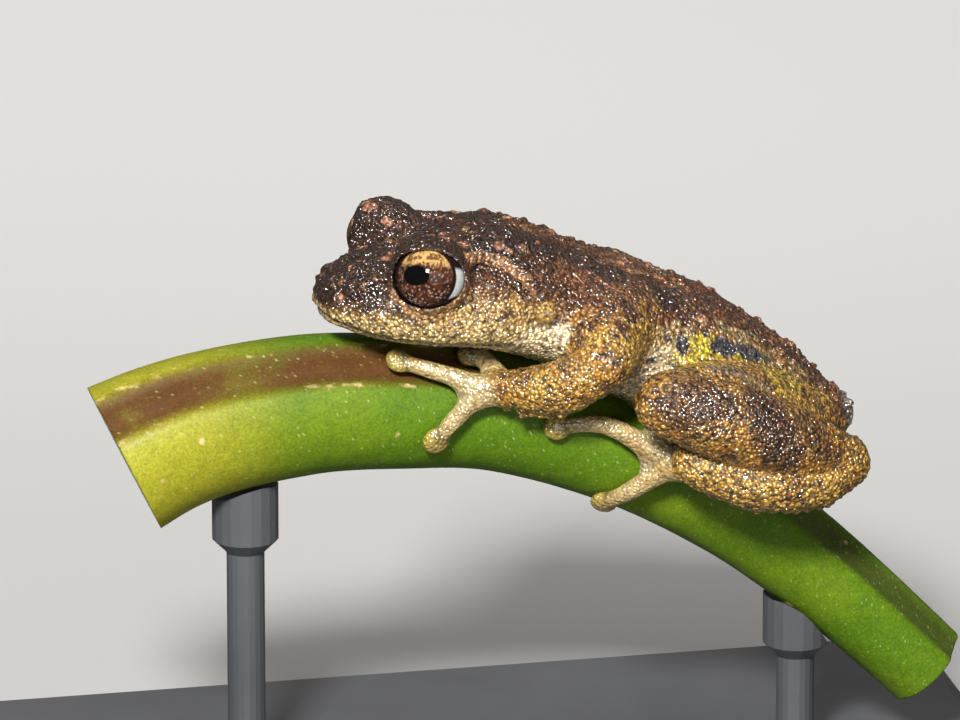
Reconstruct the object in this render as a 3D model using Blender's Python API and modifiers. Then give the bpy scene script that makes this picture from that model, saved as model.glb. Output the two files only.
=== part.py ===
"""A small serrate-legged treefrog at life size, sitting still on a cut length of green stem.

Sizes are in millimetres and are turned into metres where a mesh is made. The frog's head points
to -X and its left side to -Y. Heights are counted from a level 31.5 mm above the floor, beside
the middle of the stem, and PLACE moves everything to stand on the floor.
"""

import math
import random

import bmesh
import bpy
import numpy as np
from mathutils import Matrix, Vector

MM = 0.001
GAP = 0.3
PLACE = Vector((-2.0, 0.0, 31.5))
SEED = 41

# Body: distance along X, lowest and highest point, half width, and where it is widest (0 to 1).
BODY = (
    (-9.9, 3.8, 6.6, 2.6, 0.38),
    (-8.8, 3.3, 7.4, 3.8, 0.33),
    (-7.0, 2.8, 8.0, 4.9, 0.29),
    (-4.5, 2.4, 8.3, 5.7, 0.27),
    (-2.0, 2.0, 9.15, 6.2, 0.28),
    (0.5, 1.25, 9.4, 6.3, 0.31),
    (3.2, 0.3, 8.5, 5.9, 0.36),
    (5.5, -0.9, 7.4, 5.6, 0.40),
    (8.0, -2.4, 6.3, 5.7, 0.42),
    (11.0, -3.6, 5.2, 5.8, 0.42),
    (14.0, -5.0, 3.9, 5.6, 0.42),
    (17.0, -6.4, 1.9, 5.0, 0.42),
    (19.5, -7.6, 0.0, 4.2, 0.42),
    (21.5, -7.8, -1.9, 3.3, 0.42),
    (22.5, -7.4, -3.1, 2.6, 0.42),
)
BODY_ROUNDNESS = 2.15
SNOUT_CAP = 0.8
SNOUT_TIP = -10.69
RUMP_CAP = 0.9
RUMP_TIP = 23.39
BODY_STEPS = 17
END_CROWDING = 0.12
NECK_CUT = 3.2
HEAD_YAW = math.radians(8.5)
NECK_PIVOT = 2.5
NECK_TURN = 2.5

# Eyes, in the head before it is turned at the neck.
EYE_AT = (-5.0, 4.35, 7.4)
EYE_RADIUS = 2.2
EYE_FORWARD = math.radians(28.0)
EYE_LIFT = math.radians(14.0)
LID_RADIUS = 2.85
LID_INSET = 0.4
LID_OPENING = (2.57, 1.87, 2.6)
LID_OPENING_OUT = 3.0
NOSTRIL_AT = -9.3
NOSTRIL_ANGLE = math.radians(48.0)
NOSTRIL_RIM = 0.55
NOSTRIL_HOLE = (0.22, 0.3, 0.34)
EAR_AT = -1.3
EAR_ANGLE = math.radians(24.0)
EAR_RADIUS = 1.0
EAR_RISE = 0.22
MOUTH_CORNER = 0.3
MOUTH_DEPTH = 0.45
MOUTH_WIDTH = 0.52
MOUTH_STATIONS = 15
MOUTH_LINE = ((-10.7, 4.5), (-10.0, 4.25), (-8.5, 3.75), (-5.0, 3.25), (-2.0, 3.0), (0.3, 2.75))

# Skin fold from the left eye over the ear to a knob above the shoulder: points X, Y, Z and radius.
FOLD = (
    (-2.4, -5.7, 8.5, 0.3),
    (-0.9, -5.1, 8.35, 0.36),
    (0.5, -5.4, 7.9, 0.4),
    (1.6, -5.95, 7.05, 0.42),
    (2.3, -6.1, 6.05, 0.45),
    (2.8, -6.15, 4.9, 0.72),
)

# Stem: distance along X, height of the centre and radius.
STEM = (
    (-26.8, -6.9, 5.35),
    (-19.2, -3.5, 4.65),
    (-11.5, -2.2, 4.4),
    (-5.1, -2.4, 4.2),
    (1.3, -3.3, 3.95),
    (9.1, -6.4, 3.6),
    (15.8, -10.4, 3.35),
    (21.0, -14.6, 3.1),
    (26.2, -19.5, 2.9),
    (30.5, -23.9, 2.8),
)
STEM_CUTS = (0.55, 8.65)
CHANNEL_ANGLE = math.radians(36.0)
CHANNEL_WIDTH = math.radians(19.0)
CHANNEL_DEPTH = 0.11
STEM_SIDES = 20
STEM_STEPS = 16

# Limbs of the left side: points X, Y, Z and radius. The right side mirrors them.
UPPER_ARM = ((8.6, -3.0, 3.6, 1.7), (7.2, -5.1, 3.0, 2.1), (6.4, -7.0, 1.9, 1.9), (5.5, -7.5, 1.1, 1.45))
FOREARM = ((5.2, -7.5, 0.9, 1.4), (3.8, -7.1, 0.25, 1.7), (2.2, -6.2, -0.1, 1.5), (0.3, -5.0, -0.3, 1.1))
PALM = ((0.9, -5.1, -0.35, 0.85), (-0.3, -4.9, -0.4, 1.0), (-1.2, -4.75, -0.45, 0.75))
FINGERS = (
    ((-0.2, -4.2, 0.1, 0.6), (-0.2, -3.0, 0.8, 0.42), (-0.4, -1.9, 1.25, 0.4), (-0.6, -1.2, 1.35, 0.6)),
    ((0.4, -4.3, 0.1, 0.65), (0.0, -3.3, 0.65, 0.5), (-0.6, -2.8, 1.0, 0.45), (-1.3, -2.5, 1.15, 0.62)),
    ((-1.0, -4.7, -0.2, 0.7), (-2.4, -4.3, 0.35, 0.52), (-4.0, -3.7, 0.8, 0.48), (-5.8, -3.0, 1.3, 0.75)),
    ((-0.9, -4.9, -0.7, 0.7), (-1.9, -4.95, -1.4, 0.52), (-2.9, -4.95, -2.4, 0.5), (-3.8, -4.75, -3.5, 0.78)),
)
THIGH = ((19.9, -3.0, -4.6, 2.35), (17.4, -4.5, -3.2, 2.6), (14.0, -6.4, -1.55, 2.4), (10.4, -8.1, -0.6, 1.75))
SHANK = ((9.9, -9.0, -0.8, 1.85), (13.0, -9.3, -1.7, 2.45), (17.5, -8.9, -3.7, 2.4), (21.3, -8.0, -5.4, 1.55))
TARSUS = ((21.7, -8.1, -5.8, 1.4), (19.4, -8.9, -6.5, 1.55), (15.6, -9.1, -6.15, 1.75), (11.9, -8.0, -5.0, 1.4))
SOLE = ((12.0, -6.4, -5.9, 0.95), (11.2, -5.6, -5.8, 1.05), (10.6, -5.1, -5.7, 0.8))
TOES = (
    ((11.5, -5.0, -5.3, 0.6), (11.5, -4.3, -4.3, 0.45), (11.7, -3.4, -3.7, 0.42), (11.8, -2.4, -3.5, 0.6)),
    ((11.2, -5.0, -5.2, 0.62), (10.9, -4.3, -4.0, 0.45), (10.8, -3.3, -3.2, 0.42), (10.8, -2.2, -2.9, 0.62)),
    ((11.0, -5.0, -5.1, 0.65), (10.3, -4.5, -3.9, 0.48), (9.8, -3.7, -2.9, 0.45), (9.4, -2.6, -2.3, 0.65)),
    ((11.0, -5.2, -5.6, 0.75), (9.2, -4.6, -4.5, 0.6), (6.8, -4.3, -3.3, 0.5), (4.0, -4.3, -3.3, 0.78)),
    ((11.1, -5.3, -6.0, 0.75), (9.8, -4.9, -6.9, 0.6), (8.5, -4.3, -7.9, 0.52), (7.3, -3.0, -8.9, 0.78)),
)

# Limbs by name: path, stations along it and flattening towards the outer face.
LIMBS = {
    "upper_arm": (UPPER_ARM, 5, 1.0),
    "forearm": (FOREARM, 6, 0.85),
    "thigh": (THIGH, 7, 1.0),
    "shank": (SHANK, 8, 0.8),
    "tarsus": (TARSUS, 8, 0.8),
}

DISC_THICKNESS = 0.42
DIGIT_FLATNESS = 0.9
WEB_THICKNESS = 0.55
WEB_REACH = (0.15, 1.3)
WEB_PULL = 0.25

# Fringed limbs: start and end along the path and number of lobes. A lobe's length, width and height.
FRINGES = {"forearm": (0.08, 0.92, 8), "tarsus": (0.0, 0.95, 11)}
FRINGE_LOBE = (0.62, 0.34, 0.75)
FRINGE_LEVEL = 0.88

HEAD_WARTS = 10
BACK_WARTS = 16
WART_SIZES = (0.3, 0.52)
WART_SPREAD = 0.62
WART_SINK = -0.12
VENT_AT = (22.9, 0.0, -5.0)
VENT_RADII = (1.0, 1.3, 1.3)
VENT_TUBERCLES = 7
TUBERCLE_RADII = (0.35, 0.3, 0.3)

# Mesh fineness, and the steps in degrees that round a limb's ends.
SIDES = 12
BODY_SIDES = 26
LIMB_CAP = (78, 50, 25)
DIGIT_CAP = (60,)
NEAR = 0.02
TRIM_DEPTH = 4.0
TRIM_SPAN = 30.0

# Display stand.
BASE_SIZE = (64.0, 40.0, 4.0)
BASE_EDGE = 0.8
ROD_RADIUS = 1.2
COLLAR_RADIUS = 2.1
COLLAR_HEIGHT = 2.0
COLLAR_TAPER = 0.9
ROD_PLACES = (("stand_rod_front", -15.0), ("stand_rod_rear", 20.5))
ROD_REACH = 0.55
ROD_SIDES = 20


def smooth(keys, rows, key):
    """Values at key on a cubic that passes through the rows."""
    key = min(max(key, keys[0]), keys[-1])
    i = min(max(int(np.searchsorted(keys, key)) - 1, 0), len(keys) - 2)
    before = max(i - 1, 0)
    after = min(i + 2, len(keys) - 1)
    span = keys[i + 1] - keys[i]
    t = (key - keys[i]) / span
    slope_a = (rows[i + 1] - rows[before]) / (keys[i + 1] - keys[before]) * span
    slope_b = (rows[after] - rows[i]) / (keys[after] - keys[i]) * span
    return ((2 * t**3 - 3 * t**2 + 1) * rows[i] + (t**3 - 2 * t**2 + t) * slope_a
            + (3 * t**2 - 2 * t**3) * rows[i + 1] + (t**3 - t**2) * slope_b)


def turn_head(point):
    """Turn a point of the head about the neck, and leave the trunk as it is."""
    share = min(max((NECK_PIVOT - point.x) / NECK_TURN, 0.0), 1.0)
    angle = HEAD_YAW * share * share * (3 - 2 * share)
    x = point.x - NECK_PIVOT
    c, s = math.cos(angle), math.sin(angle)
    return Vector((NECK_PIVOT + x * c - point.y * s, x * s + point.y * c, point.z))


def across_head(x, y, z, side):
    """A point of the turned head's left side, or its mirror point on the right side."""
    point = Vector((x, y, z))
    for _ in range(8):
        straight = point
        point = Vector((x, y, z)) - (turn_head(straight) - straight)
    return turn_head(Vector((point.x, -side * point.y, point.z)))


def skin(rings):
    """One closed mesh object from a stack of rings."""
    work = bmesh.new()
    stack = [[work.verts.new((point + PLACE) * MM) for point in ring] for ring in rings]
    count = len(stack[0])
    for lower, upper in zip(stack, stack[1:]):
        for i in range(count):
            j = (i + 1) % count
            work.faces.new((lower[i], lower[j], upper[j], upper[i]))
    work.faces.new(stack[0])
    work.faces.new(stack[-1])
    bmesh.ops.recalc_face_normals(work, faces=work.faces)
    return as_object(work)


def as_object(work):
    """A mesh object from a bmesh, linked to the scene."""
    mesh = bpy.data.meshes.new("piece")
    work.to_mesh(mesh)
    work.free()
    piece = bpy.data.objects.new("piece", mesh)
    bpy.context.scene.collection.objects.link(piece)
    return piece


def body_section(x):
    """Lowest and highest point, half width and widest level of the body at x."""
    keys = [row[0] for row in BODY]
    low, high, half, widest = smooth(keys, np.array([row[1:] for row in BODY]), x)
    past_snout = (keys[0] - x) / SNOUT_CAP
    past_rump = (x - keys[-1]) / RUMP_CAP
    past = max(past_snout, past_rump, 0.0)
    scale = math.sqrt(max(1.0 - past * past, 0.0))
    middle = low + (high - low) * 0.45
    return middle + (low - middle) * scale, middle + (high - middle) * scale, half * scale, widest


def body_point(x, angle, grow=0.0):
    """A point of the body's surface. Angle 0 is the left side and a quarter turn is the back."""
    low, high, half, widest = body_section(x)
    level = low + (high - low) * widest
    power = 2.0 / BODY_ROUNDNESS
    c, s = math.cos(angle), math.sin(angle)
    reach = (high - level if s > 0 else level - low) + grow
    y = -math.copysign(abs(c) ** power, c) * (half + grow)
    z = level + math.copysign(abs(s) ** power, s) * reach
    return turn_head(Vector((x, y, z)))


def body(start, end):
    """The stretch of head or trunk between two places along X, closer ringed at the ends."""
    rings = []
    for k in range(BODY_STEPS + 1):
        t = k / BODY_STEPS
        t -= END_CROWDING * math.sin(2 * math.pi * t)
        x = start + (end - start) * t
        rings.append([body_point(x, 2 * math.pi * i / BODY_SIDES) for i in range(BODY_SIDES)])
    return skin(rings)


def mirrored(path, side):
    """A limb's path on the left side (-1) or the right side (1)."""
    return tuple((x, -side * y, z, r) for x, y, z, r in path)


def tube(path, steps, flat=1.0, grow=0.0, sides=SIDES, cap=LIMB_CAP):
    """A round-ended limb through a path, flattened towards its outer face."""
    rows = np.array(path)
    keys = list(range(len(path)))
    stations = []
    for k in range(steps + 1):
        t = keys[-1] * k / steps
        here = smooth(keys, rows, t)
        ahead = smooth(keys, rows, min(t + NEAR, keys[-1])) - smooth(keys, rows, max(t - NEAR, 0))
        stations.append((Vector(here[:3]), Vector(ahead[:3]).normalized(), float(here[3]) + grow))
    rounded = []
    first, last = stations[0], stations[-1]
    for lift in cap:
        a = math.radians(lift)
        rounded.append((first[0] - first[1] * first[2] * math.sin(a), first[1], first[2] * math.cos(a)))
    rounded += stations
    for lift in reversed(cap):
        a = math.radians(lift)
        rounded.append((last[0] + last[1] * last[2] * math.sin(a), last[1], last[2] * math.cos(a)))
    rings = []
    for centre, along, radius in rounded:
        out = Vector((0.0, 1.0, 0.0))
        out = (out - along * out.dot(along)).normalized()
        side = along.cross(out)
        ring = []
        for i in range(sides):
            a = 2 * math.pi * i / sides
            ring.append(centre + side * math.cos(a) * radius + out * math.sin(a) * radius * flat)
        rings.append(ring)
    return skin(rings)


def ball(centre, radii, rings=6, sides=10, turn=None):
    """An ellipsoid with its poles along its own Z."""
    work = bmesh.new()
    bmesh.ops.create_uvsphere(work, u_segments=sides, v_segments=rings, radius=1.0)
    spin = turn or Matrix.Identity(3)
    for vert in work.verts:
        local = Vector((vert.co.x * radii[0], vert.co.y * radii[1], vert.co.z * radii[2]))
        vert.co = (centre + spin @ local + PLACE) * MM
    return as_object(work)


def stem_at(t):
    """Centre, direction along the stem and radius at a station number."""
    keys = list(range(len(STEM)))
    rows = np.array(STEM)
    here = smooth(keys, rows, t)
    ahead = smooth(keys, rows, t + NEAR) - smooth(keys, rows, t - NEAR)
    return Vector((here[0], 0.0, here[1])), Vector((ahead[0], 0.0, ahead[1])).normalized(), float(here[2])


def stem(grow=0.0):
    """The cut leaf stalk, with a shallow channel along the upper side that faces left."""
    rings = []
    for k in range(STEM_STEPS + 1):
        t = STEM_CUTS[0] + (STEM_CUTS[1] - STEM_CUTS[0]) * k / STEM_STEPS
        centre, along, radius = stem_at(t)
        up = Vector((-along.z, 0.0, along.x))
        ring = []
        for i in range(STEM_SIDES):
            a = 2 * math.pi * i / STEM_SIDES
            off = (a - CHANNEL_ANGLE + math.pi) % (2 * math.pi) - math.pi
            dent = CHANNEL_DEPTH * math.exp(-((off / CHANNEL_WIDTH) ** 4))
            r = radius * (1.0 - dent) + grow
            ring.append(centre + (up * math.cos(a) + Vector((0.0, -1.0, 0.0)) * math.sin(a)) * r)
        rings.append(ring)
    return skin(rings)


def combine(piece, others, operation):
    """Join or cut a piece with closed meshes, which are then removed."""
    if not others:
        return piece
    group = bpy.data.collections.new("operands")
    bpy.context.scene.collection.children.link(group)
    for other in others:
        group.objects.link(other)
    modifier = piece.modifiers.new("combine", 'BOOLEAN')
    modifier.operation = operation
    modifier.operand_type = 'COLLECTION'
    modifier.collection = group
    modifier.solver = 'MANIFOLD'
    depsgraph = bpy.context.evaluated_depsgraph_get()
    mesh = bpy.data.meshes.new_from_object(piece.evaluated_get(depsgraph))
    piece.modifiers.clear()
    piece.data = mesh
    for other in others:
        bpy.data.objects.remove(other)
    bpy.data.collections.remove(group)
    return piece


def largest_surface(piece):
    """Keep only the largest closed surface of a mesh."""
    work = bmesh.new()
    work.from_mesh(piece.data)
    bmesh.ops.remove_doubles(work, verts=work.verts, dist=0.000002)
    bmesh.ops.triangulate(work, faces=work.faces)
    left = set(work.faces)
    groups = []
    while left:
        front = [left.pop()]
        group = list(front)
        while front:
            face = front.pop()
            for edge in face.edges:
                for near in edge.link_faces:
                    if near in left:
                        left.remove(near)
                        front.append(near)
                        group.append(near)
        groups.append(group)
    groups.sort(key=lambda group: sum(face.calc_area() for face in group))
    drop = [face for group in groups[:-1] for face in group]
    bmesh.ops.delete(work, geom=drop, context='FACES')
    bmesh.ops.delete(work, geom=[v for v in work.verts if not v.link_faces], context='VERTS')
    work.to_mesh(piece.data)
    work.free()


def finish(piece, name, material):
    """Name a node, give it its material and smooth its round faces."""
    largest_surface(piece)
    piece.name = name
    piece.data.name = name
    piece.data.materials.clear()
    piece.data.materials.append(material)
    piece.data.shade_smooth()
    piece.data.set_sharp_from_angle(angle=math.radians(50.0))
    for holder in list(piece.users_collection):
        holder.objects.unlink(piece)
    MODEL.objects.link(piece)


def paint(name, colour, roughness):
    """A plain material."""
    material = bpy.data.materials.new(name)
    material.use_nodes = True
    shader = material.node_tree.nodes["Principled BSDF"]
    shader.inputs["Base Color"].default_value = (*colour, 1.0)
    shader.inputs["Roughness"].default_value = roughness
    shader.inputs["Metallic"].default_value = 0.0
    return material


def lobes(name, side):
    """Tapered lobes of the skin fringe along the lower edge of a limb."""
    start, end, count = FRINGES[name]
    path = LIMBS[name][0]
    draw = random.Random(SEED + count)
    rows = np.array(mirrored(path, side))
    keys = list(range(len(path)))
    pieces = []
    for k in range(count):
        t = keys[-1] * (start + (end - start) * (k + draw.uniform(-0.15, 0.15)) / (count - 1))
        x, y, z, r = smooth(keys, rows, t)
        length, width, height = FRINGE_LOBE
        centre = Vector((x, y, z - r * FRINGE_LEVEL))
        pieces.append(ball(centre, (length, width, height * draw.uniform(0.8, 1.2)), 3, 6))
    return pieces


def warts(start, end, count, seed):
    """Low rounded warts over the back and crown between two places along X."""
    draw = random.Random(seed)
    pieces = []
    while len(pieces) < count:
        x = draw.uniform(start, end)
        angle = math.pi / 2 + draw.gauss(0.0, WART_SPREAD)
        size = draw.uniform(*WART_SIZES)
        centre = body_point(x, angle, WART_SINK)
        if near_eye(centre, LID_RADIUS * 0.9):
            continue
        pieces.append(ball(centre, (size, size, size * draw.uniform(0.8, 1.1)), 3, 6))
    return pieces


def eye_centre(side):
    """Centre of an eyeball; side is -1 on the left and 1 on the right."""
    return turn_head(Vector((EYE_AT[0], side * EYE_AT[1], EYE_AT[2])))


def eye_frame(side):
    """Turn of an eye, with its Z along the way it looks and its Y upwards."""
    flat = math.cos(EYE_LIFT)
    look = Vector((-math.sin(EYE_FORWARD) * flat, side * math.cos(EYE_FORWARD) * flat, math.sin(EYE_LIFT)))
    look = Matrix.Rotation(HEAD_YAW, 3, 'Z') @ look
    right = Vector((0.0, 0.0, 1.0)).cross(look).normalized()
    up = look.cross(right)
    return Matrix((right, up, look)).transposed()


def near_eye(point, distance):
    """Whether a point lies near an eyeball."""
    return any((point - eye_centre(side)).length < distance for side in (-1, 1))


def eye_opening(side):
    """The slit between the lids, as an ellipsoid that reaches out of the socket."""
    frame = eye_frame(side)
    centre = eye_centre(side) + frame @ Vector((0.0, -0.12, LID_OPENING_OUT))
    return ball(centre, LID_OPENING, 8, 16, frame)


def mouth_cutter():
    """A wedge swept round the jaw, which cuts the line of the mouth."""
    keys = [row[0] for row in MOUTH_LINE]
    rows = np.array([[row[1]] for row in MOUTH_LINE])
    half = []
    for k in range(MOUTH_STATIONS):
        x = SNOUT_TIP + (MOUTH_CORNER - SNOUT_TIP) * (1 - math.cos(math.pi / 2 * k / (MOUTH_STATIONS - 1)))
        z = float(smooth(keys, rows, x)[0])
        low, high, width, widest = body_section(x)
        level = low + (high - low) * widest
        drop = min(abs(level - z) / max(level - low, 0.01), 0.999)
        y = width * (1 - drop ** BODY_ROUNDNESS) ** (1 / BODY_ROUNDNESS) * (1 if k else 0)
        half.append(Vector((x, y, z)))
    path = [Vector((p.x, -p.y, p.z)) for p in reversed(half[1:])] + half
    rings = []
    for i, point in enumerate(path):
        ahead = path[min(i + 1, len(path) - 1)] - path[max(i - 1, 0)]
        ahead.z = 0.0
        out = Vector((ahead.y, -ahead.x, 0.0)).normalized()
        inwards = MOUTH_DEPTH if 0 < i < len(path) - 1 else 0.1
        ring = []
        for reach, rise in ((-inwards, 0.0), (0.5, MOUTH_WIDTH / 2), (0.5, -MOUTH_WIDTH / 2)):
            ring.append(turn_head(point + out * reach + Vector((0.0, 0.0, rise))))
        rings.append(ring)
    return skin(rings)


def fold(side):
    """The skin fold that runs from behind the eye over the ear to a knob above the shoulder."""
    rows = []
    for x, y, z, r in FOLD:
        rows.append((*across_head(x, y, z, side), r))
    return tube(rows, 8, sides=6, cap=DIGIT_CAP)


def head_pieces():
    """Solids that are joined to the head, and those that are cut from it."""
    added = warts(-10.0, NECK_CUT - 0.8, HEAD_WARTS, SEED)
    cut = [mouth_cutter()]
    for side in (-1, 1):
        frame = eye_frame(side)
        centre = eye_centre(side)
        added.append(ball(centre - frame @ Vector((0.0, -0.1, LID_INSET)), (LID_RADIUS,) * 3, 10, 16, frame))
        cut.append(ball(centre, (EYE_RADIUS + GAP,) * 3, 8, 16, frame))
        cut.append(eye_opening(side))
        added.append(fold(side))
        turn = NOSTRIL_ANGLE if side < 0 else math.pi - NOSTRIL_ANGLE
        nostril = body_point(NOSTRIL_AT, turn)
        added.append(ball(body_point(NOSTRIL_AT, turn, -0.15), (NOSTRIL_RIM,) * 3, 6, 8))
        cut.append(ball(nostril + Vector((-0.1, side * 0.3, 0.2)), NOSTRIL_HOLE, 6, 8))
        ear = EAR_ANGLE if side < 0 else math.pi - EAR_ANGLE
        added.append(ball(body_point(EAR_AT, ear, -0.05), (EAR_RADIUS, EAR_RISE, EAR_RADIUS), 8, 12))
    return added, cut


def limb(name, side, grow=0.0):
    """The closed solids of one limb node, left (-1) or right (1), grown by some millimetres."""
    if name in LIMBS:
        path, steps, flat = LIMBS[name]
        return [tube(mirrored(path, side), steps, flat, grow)]
    root, digits = (PALM, FINGERS) if name == "hand" else (SOLE, TOES)
    solids = [tube(mirrored(root, side), 3, 0.8, grow, 8, DIGIT_CAP)]
    for path in digits:
        solids += digit(mirrored(path, side), grow)
    if name == "foot":
        solids += [web(side, TOES[a], TOES[a + 1], grow) for a in range(len(TOES) - 1)]
    return solids


def digit(path, grow):
    """A finger or toe with its flat round tip disc."""
    shaft = [*path[:-1], (*path[-1][:3], DISC_THICKNESS)]
    disc = path[-1][3]
    tip, before = Vector(path[-1][:3]), Vector(path[-2][:3])
    out = surface_normal(tip)
    along = (tip - before).normalized()
    across = out.cross(along).normalized()
    frame = Matrix((out.cross(across) * -1, across, out)).transposed()
    pad = ball(tip, (disc + grow, disc + grow, DISC_THICKNESS + grow), 4, 8, frame)
    return [tube(shaft, 4, DIGIT_FLATNESS, grow, 6, DIGIT_CAP), pad]


def surface_normal(point):
    """The way that points off the stem's surface, near a point."""
    best = min((stem_at(k * 0.1) for k in range(5, 86)), key=lambda row: (row[0] - point).length)
    return (point - best[0]).normalized()


def web(side, first, second, grow):
    """The skin between two toes, from their root to about half their length."""
    rows = [np.array(mirrored(path, side)) for path in (first, second)]
    keys = list(range(len(first)))
    rings = []
    for k in range(5):
        t = WEB_REACH[0] + (WEB_REACH[1] - WEB_REACH[0]) * k / 4
        a, b = (Vector(smooth(keys, row, t)[:3]) for row in rows)
        middle = (a + b) / 2
        out = surface_normal(middle) * (WEB_THICKNESS / 2 + grow)
        pull = (rootward(rows, keys, t) - middle) * WEB_PULL * k / 4
        rings.append([a + out, middle + pull + out, b + out, b - out, middle + pull - out, a - out])
    return skin(rings)


def rootward(rows, keys, t):
    """A point nearer the root, midway between two toes."""
    a, b = (Vector(smooth(keys, row, max(t - 0.6, 0.0))[:3]) for row in rows)
    return (a + b) / 2


def join(pieces):
    """One solid from overlapping pieces."""
    return combine(pieces[0], pieces[1:], 'UNION')


def limb_nodes(side, word, colours):
    """Build the limb nodes of one side, each cut clear of the stem and of those before it."""
    for chain in (("hand", "forearm", "upper_arm"), ("foot", "tarsus", "shank", "thigh")):
        for i, name in enumerate(chain):
            solids = limb(name, side)
            if name in FRINGES:
                solids += lobes(name, side)
            cutters = [stem(GAP)]
            for earlier in chain[:i]:
                cutters += limb(earlier, side, GAP)
            finish(combine(join(solids), cutters, 'DIFFERENCE'), f"{name}_{word}", colours[name])


def grown_limbs(names):
    """Limbs of both sides, grown by the gap, to be cut out of the body."""
    return [solid for side in (-1, 1) for name in names for solid in limb(name, side, GAP)]


def stand():
    """A flat base and two rods that end in collars shaped to the underside of the stem."""
    metal = paint("stand metal", (0.06, 0.06, 0.065), 0.4)
    length, width, height = BASE_SIZE
    work = bmesh.new()
    bmesh.ops.create_cube(work, size=1.0)
    for vert in work.verts:
        vert.co = Vector((vert.co.x * length, vert.co.y * width, vert.co.z * height + height / 2)) * MM
    base = as_object(work)
    edge = base.modifiers.new("edge", 'BEVEL')
    edge.width = BASE_EDGE * MM
    edge.segments = 3
    finish(base, "stand_base", metal)
    for name, x in ROD_PLACES:
        centre, _, radius = stem_at(station_at(x))
        top = centre.z + PLACE.z - radius * ROD_REACH
        collar = top - radius - COLLAR_HEIGHT
        foot = height + COLLAR_HEIGHT
        rod = turned(x, ((COLLAR_RADIUS, height + GAP), (COLLAR_RADIUS, foot - COLLAR_TAPER), (ROD_RADIUS, foot),
                         (ROD_RADIUS, collar), (COLLAR_RADIUS, collar + COLLAR_TAPER), (COLLAR_RADIUS, top)))
        finish(combine(rod, [stem(GAP)], 'DIFFERENCE'), name, metal)


def station_at(x):
    """Station number of the stem at a place along X."""
    keys = [row[0] for row in STEM]
    return float(np.interp(x, keys, range(len(keys))))


def turned(x, profile):
    """A turned upright piece, whose profile holds radius and height above the floor."""
    rings = []
    for radius, height in profile:
        ring = []
        for i in range(ROD_SIDES):
            a = 2 * math.pi * i / ROD_SIDES
            ring.append(Vector((x + radius * math.cos(a), radius * math.sin(a), height - PLACE.z)))
        rings.append(ring)
    return skin(rings)


def clear_scene():
    """Remove what the scene held before."""
    for thing in list(bpy.data.objects):
        bpy.data.objects.remove(thing)


def build():
    """Build every node."""
    hide = paint("frog skin", (0.30, 0.19, 0.08), 0.45)
    pale = paint("frog digits", (0.52, 0.42, 0.22), 0.4)
    colours = {"hand": pale, "foot": pale, "forearm": hide, "upper_arm": hide,
               "tarsus": hide, "shank": hide, "thigh": hide}
    finish(stem(), "perch_stem", paint("green stem", (0.10, 0.30, 0.02), 0.4))
    for side, word in ((-1, "left"), (1, "right")):
        eye = ball(eye_centre(side), (EYE_RADIUS,) * 3, 9, 18, eye_frame(side))
        finish(eye, "eye_" + word, paint("eye " + word, (0.12, 0.06, 0.03), 0.1))
        limb_nodes(side, word, colours)
    added, cut = head_pieces()
    head = join([body(SNOUT_TIP, NECK_CUT - GAP / 2), *added])
    cut += [stem(GAP), slab(NECK_CUT - GAP / 2, 1), *grown_limbs(("hand", "forearm", "upper_arm"))]
    finish(combine(head, cut, 'DIFFERENCE'), "head", hide)
    trunk = [body(NECK_CUT + GAP / 2, RUMP_TIP), *warts(NECK_CUT + 0.8, 22.0, BACK_WARTS, SEED + 1)]
    trunk += vent()
    cut = [stem(GAP), slab(NECK_CUT + GAP / 2, -1)]
    cut += grown_limbs(("upper_arm", "forearm", "hand", "thigh", "shank", "tarsus", "foot"))
    finish(combine(join(trunk), cut, 'DIFFERENCE'), "torso", hide)
    stand()


def slab(x, way):
    """A block that trims what stands past the neck cut."""
    work = bmesh.new()
    bmesh.ops.create_cube(work, size=1.0)
    for vert in work.verts:
        middle = x + way * TRIM_DEPTH / 2
        corner = Vector((middle + vert.co.x * TRIM_DEPTH, vert.co.y * TRIM_SPAN, vert.co.z * TRIM_SPAN))
        vert.co = (corner + PLACE) * MM
    return as_object(work)


def vent():
    """The small knob under the end of the back, with a few pale tubercles."""
    draw = random.Random(SEED + 5)
    root = Vector(VENT_AT)
    pieces = [ball(root, VENT_RADII, 8, 12)]
    for _ in range(VENT_TUBERCLES):
        spot = Vector((0.75 + draw.uniform(-0.1, 0.1), draw.uniform(-0.9, 0.9), draw.uniform(-0.9, 0.9)))
        pieces.append(ball(root + spot, TUBERCLE_RADII, 4, 6))
    return pieces


clear_scene()
MODEL = bpy.data.collections.new("bushfrog")
bpy.context.scene.collection.children.link(MODEL)
build()
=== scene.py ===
"""Looks of a serrate-legged treefrog that grips a cut green stem on a display stand.

Lengths are in millimetres until a mesh is made. The frog faces -X, its left side is -Y, and
heights are counted from PLACE, a point 31.5 mm above the floor.
"""

import math
import random

import bmesh
import bpy
import numpy as np
import openvdb
from mathutils import Matrix, Vector


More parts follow.
